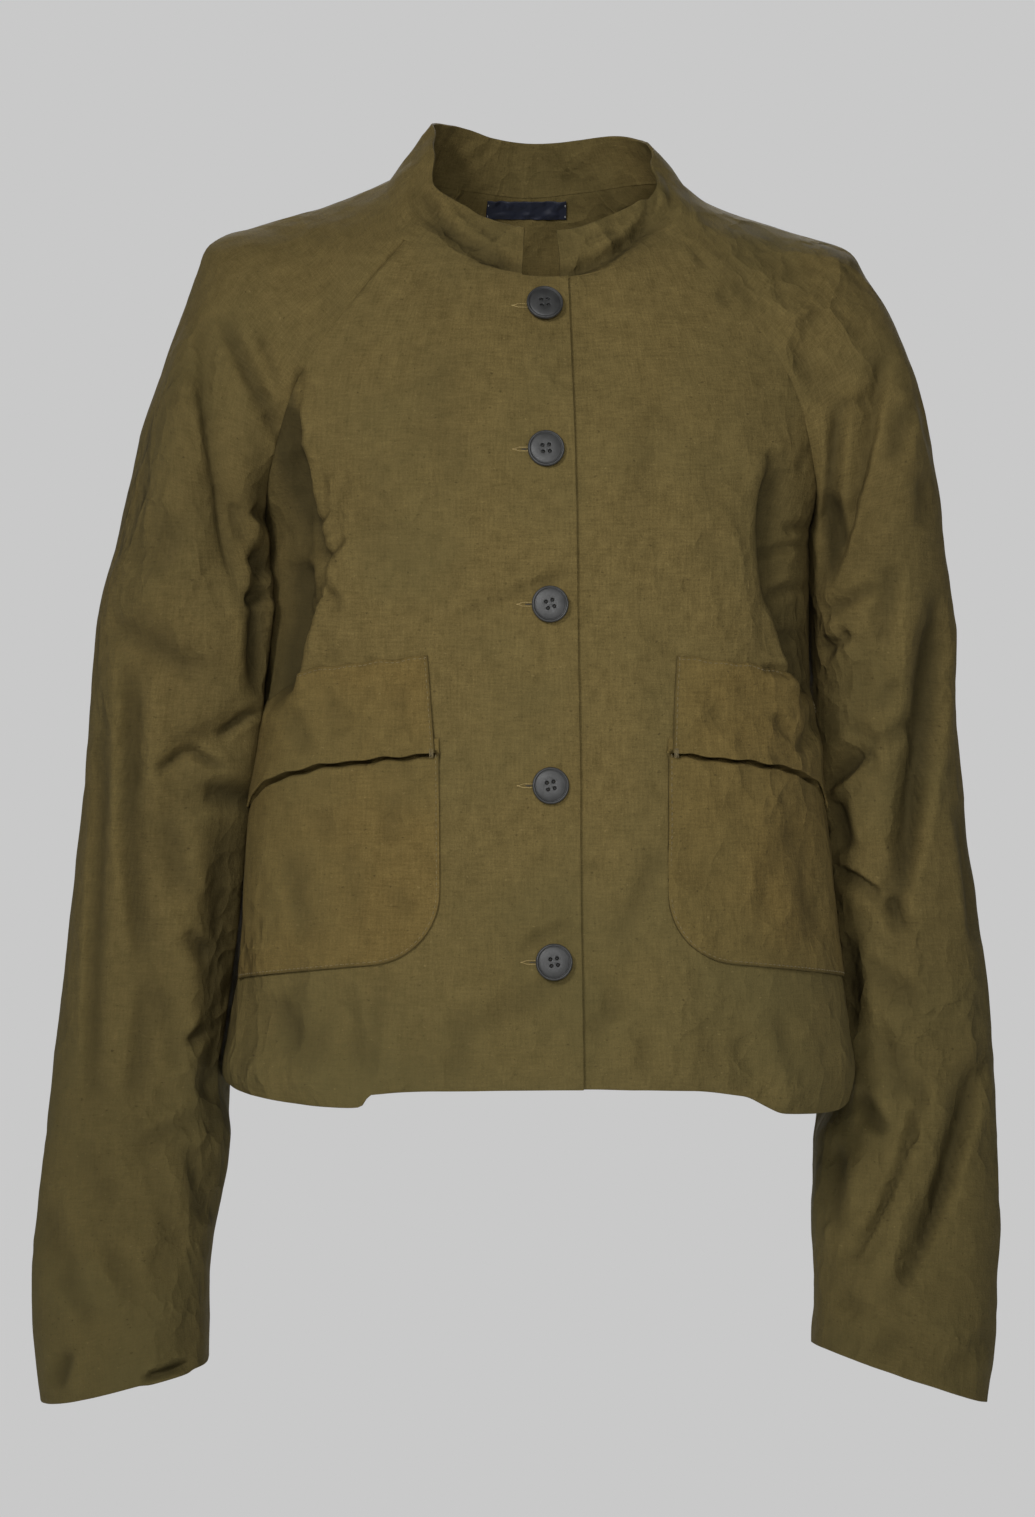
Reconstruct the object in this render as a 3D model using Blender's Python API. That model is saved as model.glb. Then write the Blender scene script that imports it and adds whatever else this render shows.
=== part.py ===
"""Cropped linen jacket: raglan sleeves, stand collar, patch pockets with flaps and five buttons.

The cloth is filled out as if it were worn, and hollow. Sizes are in millimetres and angles in degrees until
a mesh is made. The front faces -Y, the wearer's left is +X, and height 0 is the level of the shoulders.
An angle on the torso is 0 at the centre front, 90 at the wearer's left side and 180 at the centre back.
Each cut piece is a wall of cloth: the panels lie on one folded torso form, the sleeves run from the neckline
and the raglan seams to the cuff, and what is sewn onto a panel is made from the panel's points, moved out.
"""

from collections import namedtuple

import bmesh
import bpy
import numpy as np
from mathutils import Vector

MM = 0.001

# Cloth and seams
CLOTH = 1.5
COLLAR_CLOTH = 2.0
POCKET_CLOTH = 1.2
SEAM_GAP = 0.3
LAID_GAP = 0.8
COLLAR_GAP = 0.5

# Torso: each row is a level section through the body of the jacket
Section = namedtuple("Section", "height half_width front back middle squareness")
TORSO = (
    Section(45, 69, -36, 62, 10, 2.0),
    Section(28, 84, -44, 66, 10, 2.0),
    Section(14, 108, -51, 74, 8, 2.1),
    Section(0, 138, -58, 81, 7, 2.15),
    Section(-11, 159, -63, 86, 6, 2.2),
    Section(-32, 172, -75, 94, 4, 2.3),
    Section(-60, 174, -88, 101, 2, 2.35),
    Section(-100, 171, -102, 107, 0, 2.4),
    Section(-140, 164, -111, 110, -3, 2.4),
    Section(-180, 154, -116, 110, -6, 2.4),
    Section(-240, 156, -119, 107, -10, 2.4),
    Section(-320, 162, -122, 104, -12, 2.4),
    Section(-400, 169, -126, 106, -14, 2.4),
    Section(-460, 177, -129, 110, -15, 2.4),
    Section(-478, 180, -130, 112, -15, 2.4),
    Section(-505, 172, -126, 108, -15, 2.4),
)

# Edges of the panels
EdgePoint = namedtuple("EdgePoint", "angle height")
NECKLINE = (
    EdgePoint(-25, -27),
    EdgePoint(0, -32),
    EdgePoint(25, -27),
    EdgePoint(52, -10),
    EdgePoint(67, 15),
    EdgePoint(90, 29),
    EdgePoint(115, 32),
    EdgePoint(145, 29),
    EdgePoint(180, 26),
    EdgePoint(215, 29),
)
HEM = (
    EdgePoint(-90, -481),
    EdgePoint(-75, -488),
    EdgePoint(-62, -492.5),
    EdgePoint(-50, -494.5),
    EdgePoint(-47.5, -494),
    EdgePoint(-45, -487),
    EdgePoint(-30, -485),
    EdgePoint(0, -484.5),
    EdgePoint(35, -485.5),
    EdgePoint(47, -489),
    EdgePoint(58, -500),
    EdgePoint(70, -501),
    EdgePoint(90, -492),
    EdgePoint(135, -488),
    EdgePoint(180, -487),
    EdgePoint(225, -488),
    EdgePoint(255, -486),
    EdgePoint(270, -481),
)
SeamPoint = namedtuple("SeamPoint", "height angle")
RAGLAN_FRONT = (
    SeamPoint(-175, 90),
    SeamPoint(-158, 78),
    SeamPoint(-130, 70),
    SeamPoint(-85, 63),
    SeamPoint(-42, 56),
    SeamPoint(-10, 52),
)
RAGLAN_BACK = (
    SeamPoint(-175, 90),
    SeamPoint(-150, 100),
    SeamPoint(-110, 108),
    SeamPoint(-60, 118),
    SeamPoint(-15, 129),
    SeamPoint(29.4, 141),
)
UNDERARM = -175
RIGHT_LAP_TOP = 12
RIGHT_LAP_HEM = 16
LEFT_LAP = 14
LAP_RECESS = 2.0
LAP_RAMP_START = 46
LAP_RAMP_END = 20

# Sleeves: turn is 0 at the underarm seam, 90 at the front, 180 at the outer side and 360 at the underarm again.
# Below the underarm each row is a section of the arm, measured out from the centre plane. The slant lowers its
# outer side.
CUFF = -653
RING_SQUARENESS = 2.4
Ring = namedtuple("Ring", "height inner outer slant half_depth middle")
SLEEVE_RIGHT = (
    Ring(UNDERARM, 156, 237, 0, 69, -2),
    Ring(-225, 142, 250, 0, 67, -4),
    Ring(-269, 146, 254, 0, 64, 1),
    Ring(-354, 158, 262, 0, 61, 18),
    Ring(-440, 168, 271, 0, 58, 26),
    Ring(-526, 175, 281, 2, 56, 12),
    Ring(-583, 184, 285, 6, 55, -2),
    Ring(-611, 186, 285, 9, 54.5, -8),
    Ring(CUFF, 186, 281, 12, 54, -14),
)
SLEEVE_LEFT = (
    Ring(UNDERARM, 156, 234, 0, 68, 4),
    Ring(-225, 155, 242, 0, 66, 16),
    Ring(-269, 157, 243, 0, 64, 24),
    Ring(-354, 163, 252, 0, 61, 30),
    Ring(-440, 170, 264, 0, 58, 30),
    Ring(-497, 168, 268.5, 0, 57, 28),
    Ring(-526, 163, 269, 2, 56, 24),
    Ring(-583, 161, 267, 6, 55, 12),
    Ring(-611, 161, 265, 9, 54.5, 4),
    Ring(CUFF, 160, 259, 16.5, 54, -8),
)

# Sleeve caps: a share is 0 at the neckline and 1 at the underarm. Curves cross the sleeve from one raglan seam
# to the other over the shoulder line. A row gives the lengths of a curve's handles, at the seam and at the
# shoulder line, and how far it turns aside at the seam: 0 is on along the body, 1 is straight forwards or back.
CapCurve = namedtuple("CapCurve", "share start end aside")
CAP_FRONT = (
    CapCurve(0, 20, 20, 0),
    CapCurve(0.2, 35, 34, 0),
    CapCurve(0.4, 50, 52, 0.1),
    CapCurve(0.6, 50, 72, 0.35),
    CapCurve(0.75, 52, 82, 0.62),
    CapCurve(0.9, 68, 89, 0.9),
    CapCurve(1, 91, 91, 1),
)
CAP_BACK = (
    CapCurve(0, 20, 20, 0),
    CapCurve(0.2, 35, 40, 0),
    CapCurve(0.4, 45, 70, 0.15),
    CapCurve(0.6, 50, 90, 0.5),
    CapCurve(0.75, 60, 95, 0.75),
    CapCurve(0.9, 74, 95, 0.92),
    CapCurve(1, 91, 91, 1),
)
ShoulderPoint = namedtuple("ShoulderPoint", "share out height y")
SHOULDER_RIGHT = (
    ShoulderPoint(0, 83, 31, 10),
    ShoulderPoint(0.1, 112, 16.9, 10),
    ShoulderPoint(0.255, 149.5, 2.6, 9),
    ShoulderPoint(0.385, 185, -11, 7),
    ShoulderPoint(0.45, 192.5, -26, 6),
    ShoulderPoint(0.61, 210, -68.9, 2),
    ShoulderPoint(0.82, 226.3, -126, -2),
    ShoulderPoint(1, 237, UNDERARM, -4),
)
SHOULDER_LEFT = (
    ShoulderPoint(0, 82.6, 31, 10),
    ShoulderPoint(0.075, 101, 16.9, 10),
    ShoulderPoint(0.21, 139, 2.6, 9),
    ShoulderPoint(0.37, 181, -11, 8),
    ShoulderPoint(0.44, 190, -26, 7),
    ShoulderPoint(0.5, 199, -40.3, 6),
    ShoulderPoint(0.61, 210.3, -68.9, 5),
    ShoulderPoint(0.82, 225.5, -126, 4),
    ShoulderPoint(1, 234, UNDERARM, 4),
)
SHOULDER_ANGLE = 97

# How the sleeves meet their neighbours: up to which share the neckline shapes the cap, from which share the arm
# does, down to which run the arm is drawn to the underarm, and how far the sleeve stays off the body
NECK_SHARE = 0.35
ARM_SHARE = 0.6
DRAWN_RUN = 1.12
UNDERARM_CLEARANCE = 0.6
ARM_CLEARANCE = 3.0
FREE_START = -488
FREE_END = -518

# Largest folds: each is a trough from one point to another, seen from the front or the back. On a sleeve they
# fade out towards the raglan seams and the neckline.
Fold = namedtuple("Fold", "x0 z0 x1 z1 width depth")
TORSO_FRONT_FOLDS = (
    Fold(-122, -424, -107, -490, 14, 6),
    Fold(57, -394, 24, -446, 14, 3),
    Fold(123, -143, 137, -259, 22, 7),
    Fold(-129, -127, -144, -237, 20, 6),
    Fold(101, -457, 123, -493, 14, 5),
)
TORSO_BACK_FOLDS = (
    Fold(-96, -150, -62, -300, 20, 5),
    Fold(104, -140, 84, -262, 20, 5),
    Fold(40, -390, 62, -486, 18, 5),
    Fold(-70, -400, -88, -486, 18, 4),
)
SLEEVE_RIGHT_FRONT_FOLDS = (
    Fold(-193, -52, -174, -199, 13, 7),
    Fold(-249, -224, -198, -264, 14, 5),
    Fold(-163, -279, -216, -309, 11, 5),
    Fold(-232, -249, -233, -326, 11, 3.5),
    Fold(-226, -501, -176, -481, 12, 3),
)
SLEEVE_LEFT_FRONT_FOLDS = (
    Fold(197, -68, 160, -203, 15, 6.5),
    Fold(220, -223, 207, -367, 13, 6),
    Fold(165, -312, 191, -285, 11, 4),
    Fold(218, -482, 174, -587, 12, 5),
    Fold(247, -478, 220, -580, 13, 5),
)
SLEEVE_RIGHT_BACK_FOLDS = (
    Fold(-160, -190, -214, -270, 15, 6),
    Fold(-240, -300, -190, -350, 14, 5),
    Fold(-250, -460, -205, -520, 13, 4),
)
SLEEVE_LEFT_BACK_FOLDS = (
    Fold(162, -186, 220, -262, 15, 6),
    Fold(178, -300, 232, -338, 14, 5),
    Fold(246, -440, 190, -500, 13, 4),
)

FOLD_FALL = 0.7
FOLD_TAPER = 4
SEAM_FADE_TURN = 30
NECK_FADE_RUN = 0.15

# Collar: angles run on from the left end round the back to the right end
CollarStep = namedtuple("CollarStep", "angle rise lean")
COLLAR = (
    CollarStep(7, 28, 15),
    CollarStep(52, 26, 19),
    CollarStep(90, 23.5, 16),
    CollarStep(140, 28, 13),
    CollarStep(180, 29.5, 9),
    CollarStep(205, 30, 11),
    CollarStep(225, 32, 14),
    CollarStep(270, 31.5, 26),
    CollarStep(308, 27, 23),
    CollarStep(352, 27, 16),
)
COLLAR_LEFT_END = 8.5
COLLAR_RIGHT_END = 14
NECK_AXIS_Y = 10

# Pockets: measured out from the centre front, on both sides
PocketLine = namedtuple("PocketLine", "share drop")
POCKET_DROP = (
    PocketLine(0, 0),
    PocketLine(0.33, 6),
    PocketLine(0.5, 9),
    PocketLine(0.67, 15),
    PocketLine(0.83, 23),
    PocketLine(1, 29),
)
POCKET_MOUTH = -299
POCKET_TUCK = 8
POCKET_BOTTOM = -412
POCKET_BOTTOM_DROP = 14
POCKET_CORNER = 36
POCKET_INNER = 63
POCKET_WIDTH = 128
POCKET_OUTER_ANGLE = 83
FLAP_TOP = -245
FLAP_INNER_TOP = 69
FLAP_INNER_MOUTH = 65
FLAP_STAND_OFF = 2.6
POCKET_CROWDING = 1.3

# Buttons and label
ButtonPlace = namedtuple("ButtonPlace", "x height")
BUTTONS = (
    ButtonPlace(-2, -49),
    ButtonPlace(-3.5, -131),
    ButtonPlace(-2, -217),
    ButtonPlace(-2, -317),
    ButtonPlace(-0.5, -414),
)
BUTTON_GAP = 0.4
ProfilePoint = namedtuple("ProfilePoint", "radius height")
BUTTON_PROFILE = (
    ProfilePoint(0, 0),
    ProfilePoint(8.6, 0),
    ProfilePoint(10.2, 1.2),
    ProfilePoint(10.2, 2.4),
    ProfilePoint(9.4, 3.2),
    ProfilePoint(7.7, 3.0),
    ProfilePoint(6.9, 2.2),
    ProfilePoint(0, 1.9),
)
BUTTON_SIDES = 20
HOLE_RADIUS = 1.0
HOLE_SPACING = 3.6
HOLE_SIDES = 6
LABEL_HALF_WIDTH = 23.3
LABEL_TOP = 24
LABEL_BOTTOM = 14
LABEL_CLOTH = 0.8

# Steps of the grids
PANEL_COLUMNS = 20
BACK_COLUMNS = 24
SIDE_ROWS = 11
SEAM_STEPS = 12
SLEEVE_COLUMNS = 24
ARM_ROWS = 18
COLLAR_FRONT_STEPS = 8
COLLAR_BACK_STEPS = 12
COLLAR_ROWS = 4
POCKET_COLUMNS = 10
POCKET_ROWS = 7
FLAP_ROWS = 5
LABEL_COLUMNS = 6
SEAM_SAMPLES = 160

# Small steps along the parameters of a form, for its normals
ANGLE_STEP = 0.4
HEIGHT_STEP = 0.8
TURN_STEP = 0.5
RUN_STEP = 0.004
COLLAR_STEP = 0.02

# Finishes: linear colour, roughness, metallic
Finish = namedtuple("Finish", "colour roughness metallic")
LINEN = Finish((0.125, 0.092, 0.03), 0.9, 0.0)
BUTTON_HORN = Finish((0.05, 0.052, 0.058), 0.45, 0.0)
LABEL_WEAVE = Finish((0.012, 0.016, 0.035), 0.8, 0.0)


def smooth_curve(keys, values):
    """A curve through the points of two table columns that never overshoots them, straight past both ends."""
    order = np.argsort(keys)
    keys = np.asarray(keys, float)[order]
    values = np.asarray(values, float)[order]
    steps = np.diff(keys)
    slopes = np.diff(values) / steps
    product = slopes[:-1] * slopes[1:]
    total = slopes[:-1] + slopes[1:]
    inner = np.divide(2 * product, total, out=np.zeros_like(total), where=product > 0)
    tangents = np.concatenate([slopes[:1], inner, slopes[-1:]])

    def curve(key):
        inside = np.clip(key, keys[0], keys[-1])
        i = np.clip(np.searchsorted(keys, inside, side="right") - 1, 0, len(steps) - 1)
        t = (inside - keys[i]) / steps[i]
        bend = steps[i] * t * (1 - t) * (tangents[i] * (1 - t) - tangents[i + 1] * t)
        past = key - inside
        end_slope = np.where(past < 0, tangents[0], tangents[-1])
        return values[i] + (values[i + 1] - values[i]) * t * t * (3 - 2 * t) + bend + past * end_slope

    return curve


def curves_of(rows):
    """One smooth curve for each column of a table after the first, over the first."""
    keys, *columns = zip(*rows)
    return [smooth_curve(keys, column) for column in columns]


def smooth_step(low, high, x):
    """0 below the low value, 1 above the high one and smooth between them."""
    t = np.clip((x - low) / (high - low), 0, 1)
    return t * t * (3 - 2 * t)


def unit(vectors):
    return vectors / np.linalg.norm(vectors, axis=-1, keepdims=True)


def normal_of(form, u, v, du, dv):
    """Unit normals of a form, from small steps along its two parameters."""
    along_u = form(u + du, v) - form(u - du, v)
    along_v = form(u, v + dv) - form(u, v - dv)
    return unit(np.cross(along_u, along_v))


TORSO_CURVES = curves_of(TORSO)
TORSO_FRONT_Y = TORSO_CURVES[1]
TORSO_MIDDLE = TORSO_CURVES[3]
(HEM_CURVE,) = curves_of(HEM)
(NECK_CURVE,) = curves_of(NECKLINE)
(RAGLAN_FRONT_CURVE,) = curves_of(RAGLAN_FRONT)
(RAGLAN_BACK_CURVE,) = curves_of(RAGLAN_BACK)
(POCKET_DROP_CURVE,) = curves_of(POCKET_DROP)
CAP_FRONT_CURVES = curves_of(CAP_FRONT)
CAP_BACK_CURVES = curves_of(CAP_BACK)
SHOULDER_CURVES = {-1: curves_of(SHOULDER_RIGHT), 1: curves_of(SHOULDER_LEFT)}
COLLAR_CURVES = curves_of(COLLAR)
RING_CURVES = {-1: curves_of(SLEEVE_RIGHT), 1: curves_of(SLEEVE_LEFT)}


def torso_reach(angle, height):
    """How far the plain torso form lies from its upright axis."""
    half_width, front, back, middle, squareness = (curve(height) for curve in TORSO_CURVES)
    turn = np.radians(angle)
    depth = np.where(np.cos(turn) > 0, middle - front, back - middle)
    across = np.abs(np.sin(turn)) / half_width
    along = np.abs(np.cos(turn)) / depth
    return (across**squareness + along**squareness) ** (-1 / squareness)


def torso_plain(angle, height):
    """Points of the torso form before it is folded."""
    angle, height = np.broadcast_arrays(np.asarray(angle, float), np.asarray(height, float))
    turn = np.radians(angle)
    reach = torso_reach(angle, height)
    return np.stack([reach * np.sin(turn), TORSO_MIDDLE(height) - reach * np.cos(turn), height], axis=-1)


def fold_depth(folds, points):
    """How far the folds move the cloth along its normal: soft troughs between low banks."""
    moved = np.zeros(points.shape[:-1])
    for fold in folds:
        run = np.array([fold.x1 - fold.x0, fold.z1 - fold.z0])
        length = np.hypot(*run)
        offset = points[..., [0, 2]] - np.array([fold.x0, fold.z0])
        along = offset @ run / length**2
        beside = (offset[..., 1] * run[0] - offset[..., 0] * run[1]) / length / fold.width
        taper = np.clip(1 - (2 * along - 1) ** FOLD_TAPER, 0, 1)
        moved -= fold.depth * taper * (1 - beside**2) * np.exp(-FOLD_FALL * beside**2)
    return moved


def folds_on(points, normals, front_folds, back_folds):
    """Fold depths for points that face the front or the back, fading towards the sides."""
    front = np.clip(-2 * normals[..., 1], 0, 1)
    back = np.clip(2 * normals[..., 1], 0, 1)
    return front * fold_depth(front_folds, points) + back * fold_depth(back_folds, points)


def torso(angle, height):
    """Points of the folded torso form."""
    points = torso_plain(angle, height)
    normals = normal_of(torso_plain, angle, height, ANGLE_STEP, HEIGHT_STEP)
    moved = folds_on(points, normals, TORSO_FRONT_FOLDS, TORSO_BACK_FOLDS)
    return points + normals * moved[..., None]


def torso_normal(angle, height):
    return normal_of(torso, angle, height, ANGLE_STEP, HEIGHT_STEP)


def angle_at(x, height):
    """The angle at which the front of the plain torso form has a given distance from the centre plane."""
    half_width, front, _, middle, squareness = (curve(height) for curve in TORSO_CURVES)
    rest = np.clip(1 - (np.abs(x) / half_width) ** squareness, 0, 1)
    return np.degrees(np.arctan2(x, (middle - front) * rest ** (1 / squareness)))


def neck_height(angle):
    """Height of the neckline, the same on both sides."""
    return NECK_CURVE(180 - np.abs(180 - np.mod(angle, 360)))


def hem_height(angle):
    return HEM_CURVE(np.mod(np.asarray(angle) + 90, 360) - 90)


def lap_recess(points):
    """How far the left front lies in, so that it passes under the right one."""
    return LAP_RECESS * smooth_step(-LAP_RAMP_START, -LAP_RAMP_END, -points[..., 0])


def even_lengths(angles, heights):
    """Share of the length along a line on the torso, from 0 to 1."""
    steps = np.linalg.norm(np.diff(torso_plain(angles, heights), axis=0), axis=-1)
    lengths = np.concatenate([[0], np.cumsum(steps)])
    return lengths / lengths[-1]


def raglan_table(seam_curve, top):
    """A raglan seam on the wearer's left: share of its length, angle and height, from the neckline down."""
    heights = np.linspace(top, UNDERARM, SEAM_SAMPLES)
    angles = seam_curve(heights)
    return even_lengths(angles, heights), angles, heights


FRONT_SEAM = raglan_table(RAGLAN_FRONT_CURVE, RAGLAN_FRONT[-1].height)
BACK_SEAM = raglan_table(RAGLAN_BACK_CURVE, RAGLAN_BACK[-1].height)


def on_seam(seam, side, share):
    """Angle and height at a share of the way down a raglan seam."""
    shares, angles, heights = seam
    return side * np.interp(share, shares, angles), np.interp(share, shares, heights)


def squared_circle(turn):
    """Cosine and sine of a turn, drawn out towards the corners of a square."""
    power = 2 / RING_SQUARENESS
    both = np.cos(np.radians(turn)), np.sin(np.radians(turn))
    return [np.sign(value) * np.abs(value) ** power for value in both]


def arm(side, turn, run):
    """Points of a sleeve below the underarm, from run 1 there to run 2 at the cuff."""
    height = UNDERARM + (run - 1) * (CUFF - UNDERARM)
    inner, outer, slant, half_depth, middle = (curve(height) for curve in RING_CURVES[side])
    inward, forward = squared_circle(turn)
    out = (inner + outer) / 2 - inward * (outer - inner) / 2
    points = np.stack([side * out, middle - half_depth * forward, height + slant * inward], axis=-1)
    ring_inner, _, _, _, ring_middle = (curve(UNDERARM) for curve in RING_CURVES[side])
    drawn = np.cos(np.radians(turn) / 2) ** 4 * (1 - smooth_step(1, DRAWN_RUN, run))
    return points + drawn[..., None] * (torso(side * 90, UNDERARM) - (side * ring_inner, ring_middle, UNDERARM))


def crossing(side, t, share, seam, handles, aside):
    """A curve over one half of a sleeve cap, from a raglan seam (t is 0) up to the shoulder line (t is 1)."""
    angle, height = on_seam(seam, side, share)
    normals = torso_normal(angle, height)
    start = torso(angle, height)
    out, crest, crest_y = (curve(share) for curve in SHOULDER_CURVES[side])
    end = np.stack([side * out, crest_y, crest], axis=-1)
    start_handle, end_handle, turned = (curve(share)[..., None] for curve in handles)
    chord = unit(end - start)
    level = chord - np.sum(chord * normals, axis=-1, keepdims=True) * normals
    leaving = unit((1 - turned) * level + turned * (aside + (1 - turned) * normals))
    second = start + start_handle * leaving
    third = end + end_handle * aside
    t = t[..., None]
    return (1 - t) ** 3 * start + 3 * t * (1 - t) ** 2 * second + 3 * t * t * (1 - t) * third + t**3 * end


def half_cap(side, turn, share, back):
    """Points on the front or the back half of a sleeve cap, met to the neckline and to the arm."""
    if back:
        t = 2 - turn / 180
        corner = RAGLAN_BACK[-1].angle
        shape = BACK_SEAM, CAP_BACK_CURVES, np.array([0.0, 1.0, 0.0])
    else:
        t = turn / 180
        corner = RAGLAN_FRONT[-1].angle
        shape = FRONT_SEAM, CAP_FRONT_CURVES, np.array([0.0, -1.0, 0.0])
    neck_angle = corner + t * (SHOULDER_ANGLE - corner)
    at_neck = torso(side * neck_angle, neck_height(neck_angle)) - crossing(side, t, np.zeros_like(t), *shape)
    at_arm = arm(side, turn, np.ones_like(t)) - crossing(side, t, np.ones_like(t), *shape)
    near_neck = 1 - smooth_step(0, NECK_SHARE, share)[..., None]
    near_arm = smooth_step(ARM_SHARE, 1, share)[..., None]
    return crossing(side, t, share, *shape) + near_neck * at_neck + near_arm * at_arm


def sleeve_plain(side, turn, run):
    """Points of a sleeve before it is folded: run is 0 at the neckline, 1 at the underarm and 2 at the cuff."""
    turn, run = np.broadcast_arrays(np.asarray(turn, float), np.asarray(run, float))
    share = np.minimum(run, 1)
    front = half_cap(side, turn, share, False)
    back = half_cap(side, turn, share, True)
    upper = np.where((turn < 180)[..., None], front, back)
    lower = arm(side, turn, np.maximum(run, 1))
    return np.where((run < 1)[..., None], upper, lower)


def clear_of_torso(points, run):
    """Sleeve points moved out where they would come too near the body of the jacket."""
    level = np.maximum(points[..., 2], TORSO[-2].height)
    x = points[..., 0]
    forward = TORSO_MIDDLE(level) - points[..., 1]
    distance = np.hypot(x, forward)
    beside_arm = smooth_step(1, DRAWN_RUN, run)
    gap = UNDERARM_CLEARANCE + beside_arm * (ARM_CLEARANCE - UNDERARM_CLEARANCE)
    spare = distance - torso_reach(np.degrees(np.arctan2(x, forward)), level) - gap
    moved_out = 0.5 * (np.hypot(spare, gap) - spare)
    weight = smooth_step(ARM_SHARE, 1, run) * smooth_step(FREE_END, FREE_START, points[..., 2])
    factor = 1 + weight * moved_out / distance
    moved = points.copy()
    moved[..., 0] = x * factor
    moved[..., 1] = TORSO_MIDDLE(level) - forward * factor
    return moved


def sleeve_form(side, front_folds, back_folds):
    """The folded form of one sleeve, as a function of turn and run."""

    def plain(turn, run):
        return sleeve_plain(side, turn, run)

    def folded(turn, run):
        points = plain(turn, run)
        normals = -side * normal_of(plain, turn, np.maximum(run, 2 * RUN_STEP), TURN_STEP, RUN_STEP)
        from_seam = np.minimum(turn, 360 - turn)
        off_seams = smooth_step(0, SEAM_FADE_TURN, from_seam) * smooth_step(0, NECK_FADE_RUN, run)
        weight = np.maximum(off_seams, smooth_step(1, DRAWN_RUN, run))
        moved = folds_on(points, normals, front_folds, back_folds) * weight
        return clear_of_torso(points + normals * moved[..., None], run)

    return folded


def trimmed(grid, first_row=0.0, last_row=0.0, first_column=0.0, last_column=0.0):
    """A grid of points whose edges are drawn back along the cloth, for the gap at a seam."""
    grid = grid.copy()
    edges = (
        ((0, slice(None)), (1, slice(None)), first_row),
        ((-1, slice(None)), (-2, slice(None)), last_row),
        ((slice(None), 0), (slice(None), 1), first_column),
        ((slice(None), -1), (slice(None), -2), last_column),
    )
    for edge, beside, gap in edges:
        if gap:
            grid[edge] += gap * unit(grid[beside] - grid[edge])
    return grid


def fill_between(left, right, bottom, top):
    """A grid of angles and heights inside four edges: a Coons patch."""
    v = even_lengths(right[:, 0], right[:, 1])[:, None, None]
    u = np.linspace(0, 1, len(bottom))[None, :, None]
    corners = (1 - u) * (1 - v) * bottom[0] + u * (1 - v) * bottom[-1] + (1 - u) * v * top[0] + u * v * top[-1]
    edges = (1 - v) * bottom + v * top + (1 - u) * left[:, None] + u * right[:, None]
    grid = edges - corners
    return grid[..., 0], grid[..., 1]


def side_edge(side, seam):
    """Angles and heights from the hem up the side seam and a raglan seam."""
    low = np.linspace(hem_height(side * 90), UNDERARM, SIDE_ROWS + 1)[:-1]
    angles, heights = on_seam(seam, side, np.linspace(1, 0, SEAM_STEPS + 1))
    return np.stack([np.concatenate([low * 0 + side * 90, angles]), np.concatenate([low, heights])], axis=-1)


def lap_edge(side, rows, laps):
    """Angles and heights up the front edge, which laps past the centre front by so much at the hem and top."""
    share = even_lengths(rows[:, 0], rows[:, 1])
    heights = hem_height(0) + share * (neck_height(0) - hem_height(0))
    lap = laps[0] + share * (laps[1] - laps[0])
    depth = TORSO_MIDDLE(heights) - TORSO_FRONT_Y(heights)
    return np.stack([-side * np.degrees(np.arctan2(lap, depth)), heights], axis=-1)


def new_material(name, finish):
    material = bpy.data.materials.new(name)
    material.use_nodes = True
    shader = material.node_tree.nodes["Principled BSDF"]
    shader.inputs["Base Color"].default_value = (*finish.colour, 1)
    shader.inputs["Roughness"].default_value = finish.roughness
    shader.inputs["Metallic"].default_value = finish.metallic
    material.diffuse_color = (*finish.colour, 1)
    return material


def add_object(name, mesh, finish):
    mesh.materials.clear()
    mesh.materials.append(new_material(name, finish))
    made = bpy.data.objects.new(name, mesh)
    bpy.context.scene.collection.objects.link(made)
    return made


def add_wall(name, outer, inner, finish, closed_from=None):
    """A wall of cloth between two grids of points; from some row on, a sleeve's last column is its first."""
    layers = np.arange(outer[..., 0].size * 2).reshape(2, *outer.shape[:2])
    open_rows = outer.shape[0]
    if closed_from is not None:
        layers[:, closed_from:, -1] = layers[:, closed_from:, 0]
        open_rows = closed_from + 1
    rims = layers[:, 0, :], layers[:, -1, :], layers[:, :open_rows, 0], layers[:, :open_rows, -1]
    faces = []
    for patch in (*layers, *rims):
        corners = patch[:-1, :-1], patch[:-1, 1:], patch[1:, 1:], patch[1:, :-1]
        faces += np.stack(corners, axis=-1).reshape(-1, 4).tolist()
    points = np.concatenate([outer.reshape(-1, 3), inner.reshape(-1, 3)]) * MM
    mesh = bpy.data.meshes.new(name)
    mesh.from_pydata(points.tolist(), [], faces)
    shell = bmesh.new()
    shell.from_mesh(mesh)
    bmesh.ops.delete(shell, geom=[v for v in shell.verts if not v.link_faces], context="VERTS")
    bmesh.ops.recalc_face_normals(shell, faces=shell.faces)
    shell.to_mesh(mesh)
    shell.free()
    mesh.shade_smooth()
    return add_object(name, mesh, finish)


def add_panel(name, angles, heights, recess=None, sewn_first=False):
    """A panel of the body, its wall laid inwards and its seam edges drawn back for the gap."""
    normals = torso_normal(angles, heights)
    outer = torso(angles, heights)
    if recess:
        outer = outer - recess(outer)[..., None] * normals
    inner = outer - CLOTH * normals
    gaps = {"first_column": SEAM_GAP if sewn_first else 0, "last_column": SEAM_GAP}
    return add_wall(name, trimmed(outer, **gaps), trimmed(inner, **gaps), LINEN)


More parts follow.
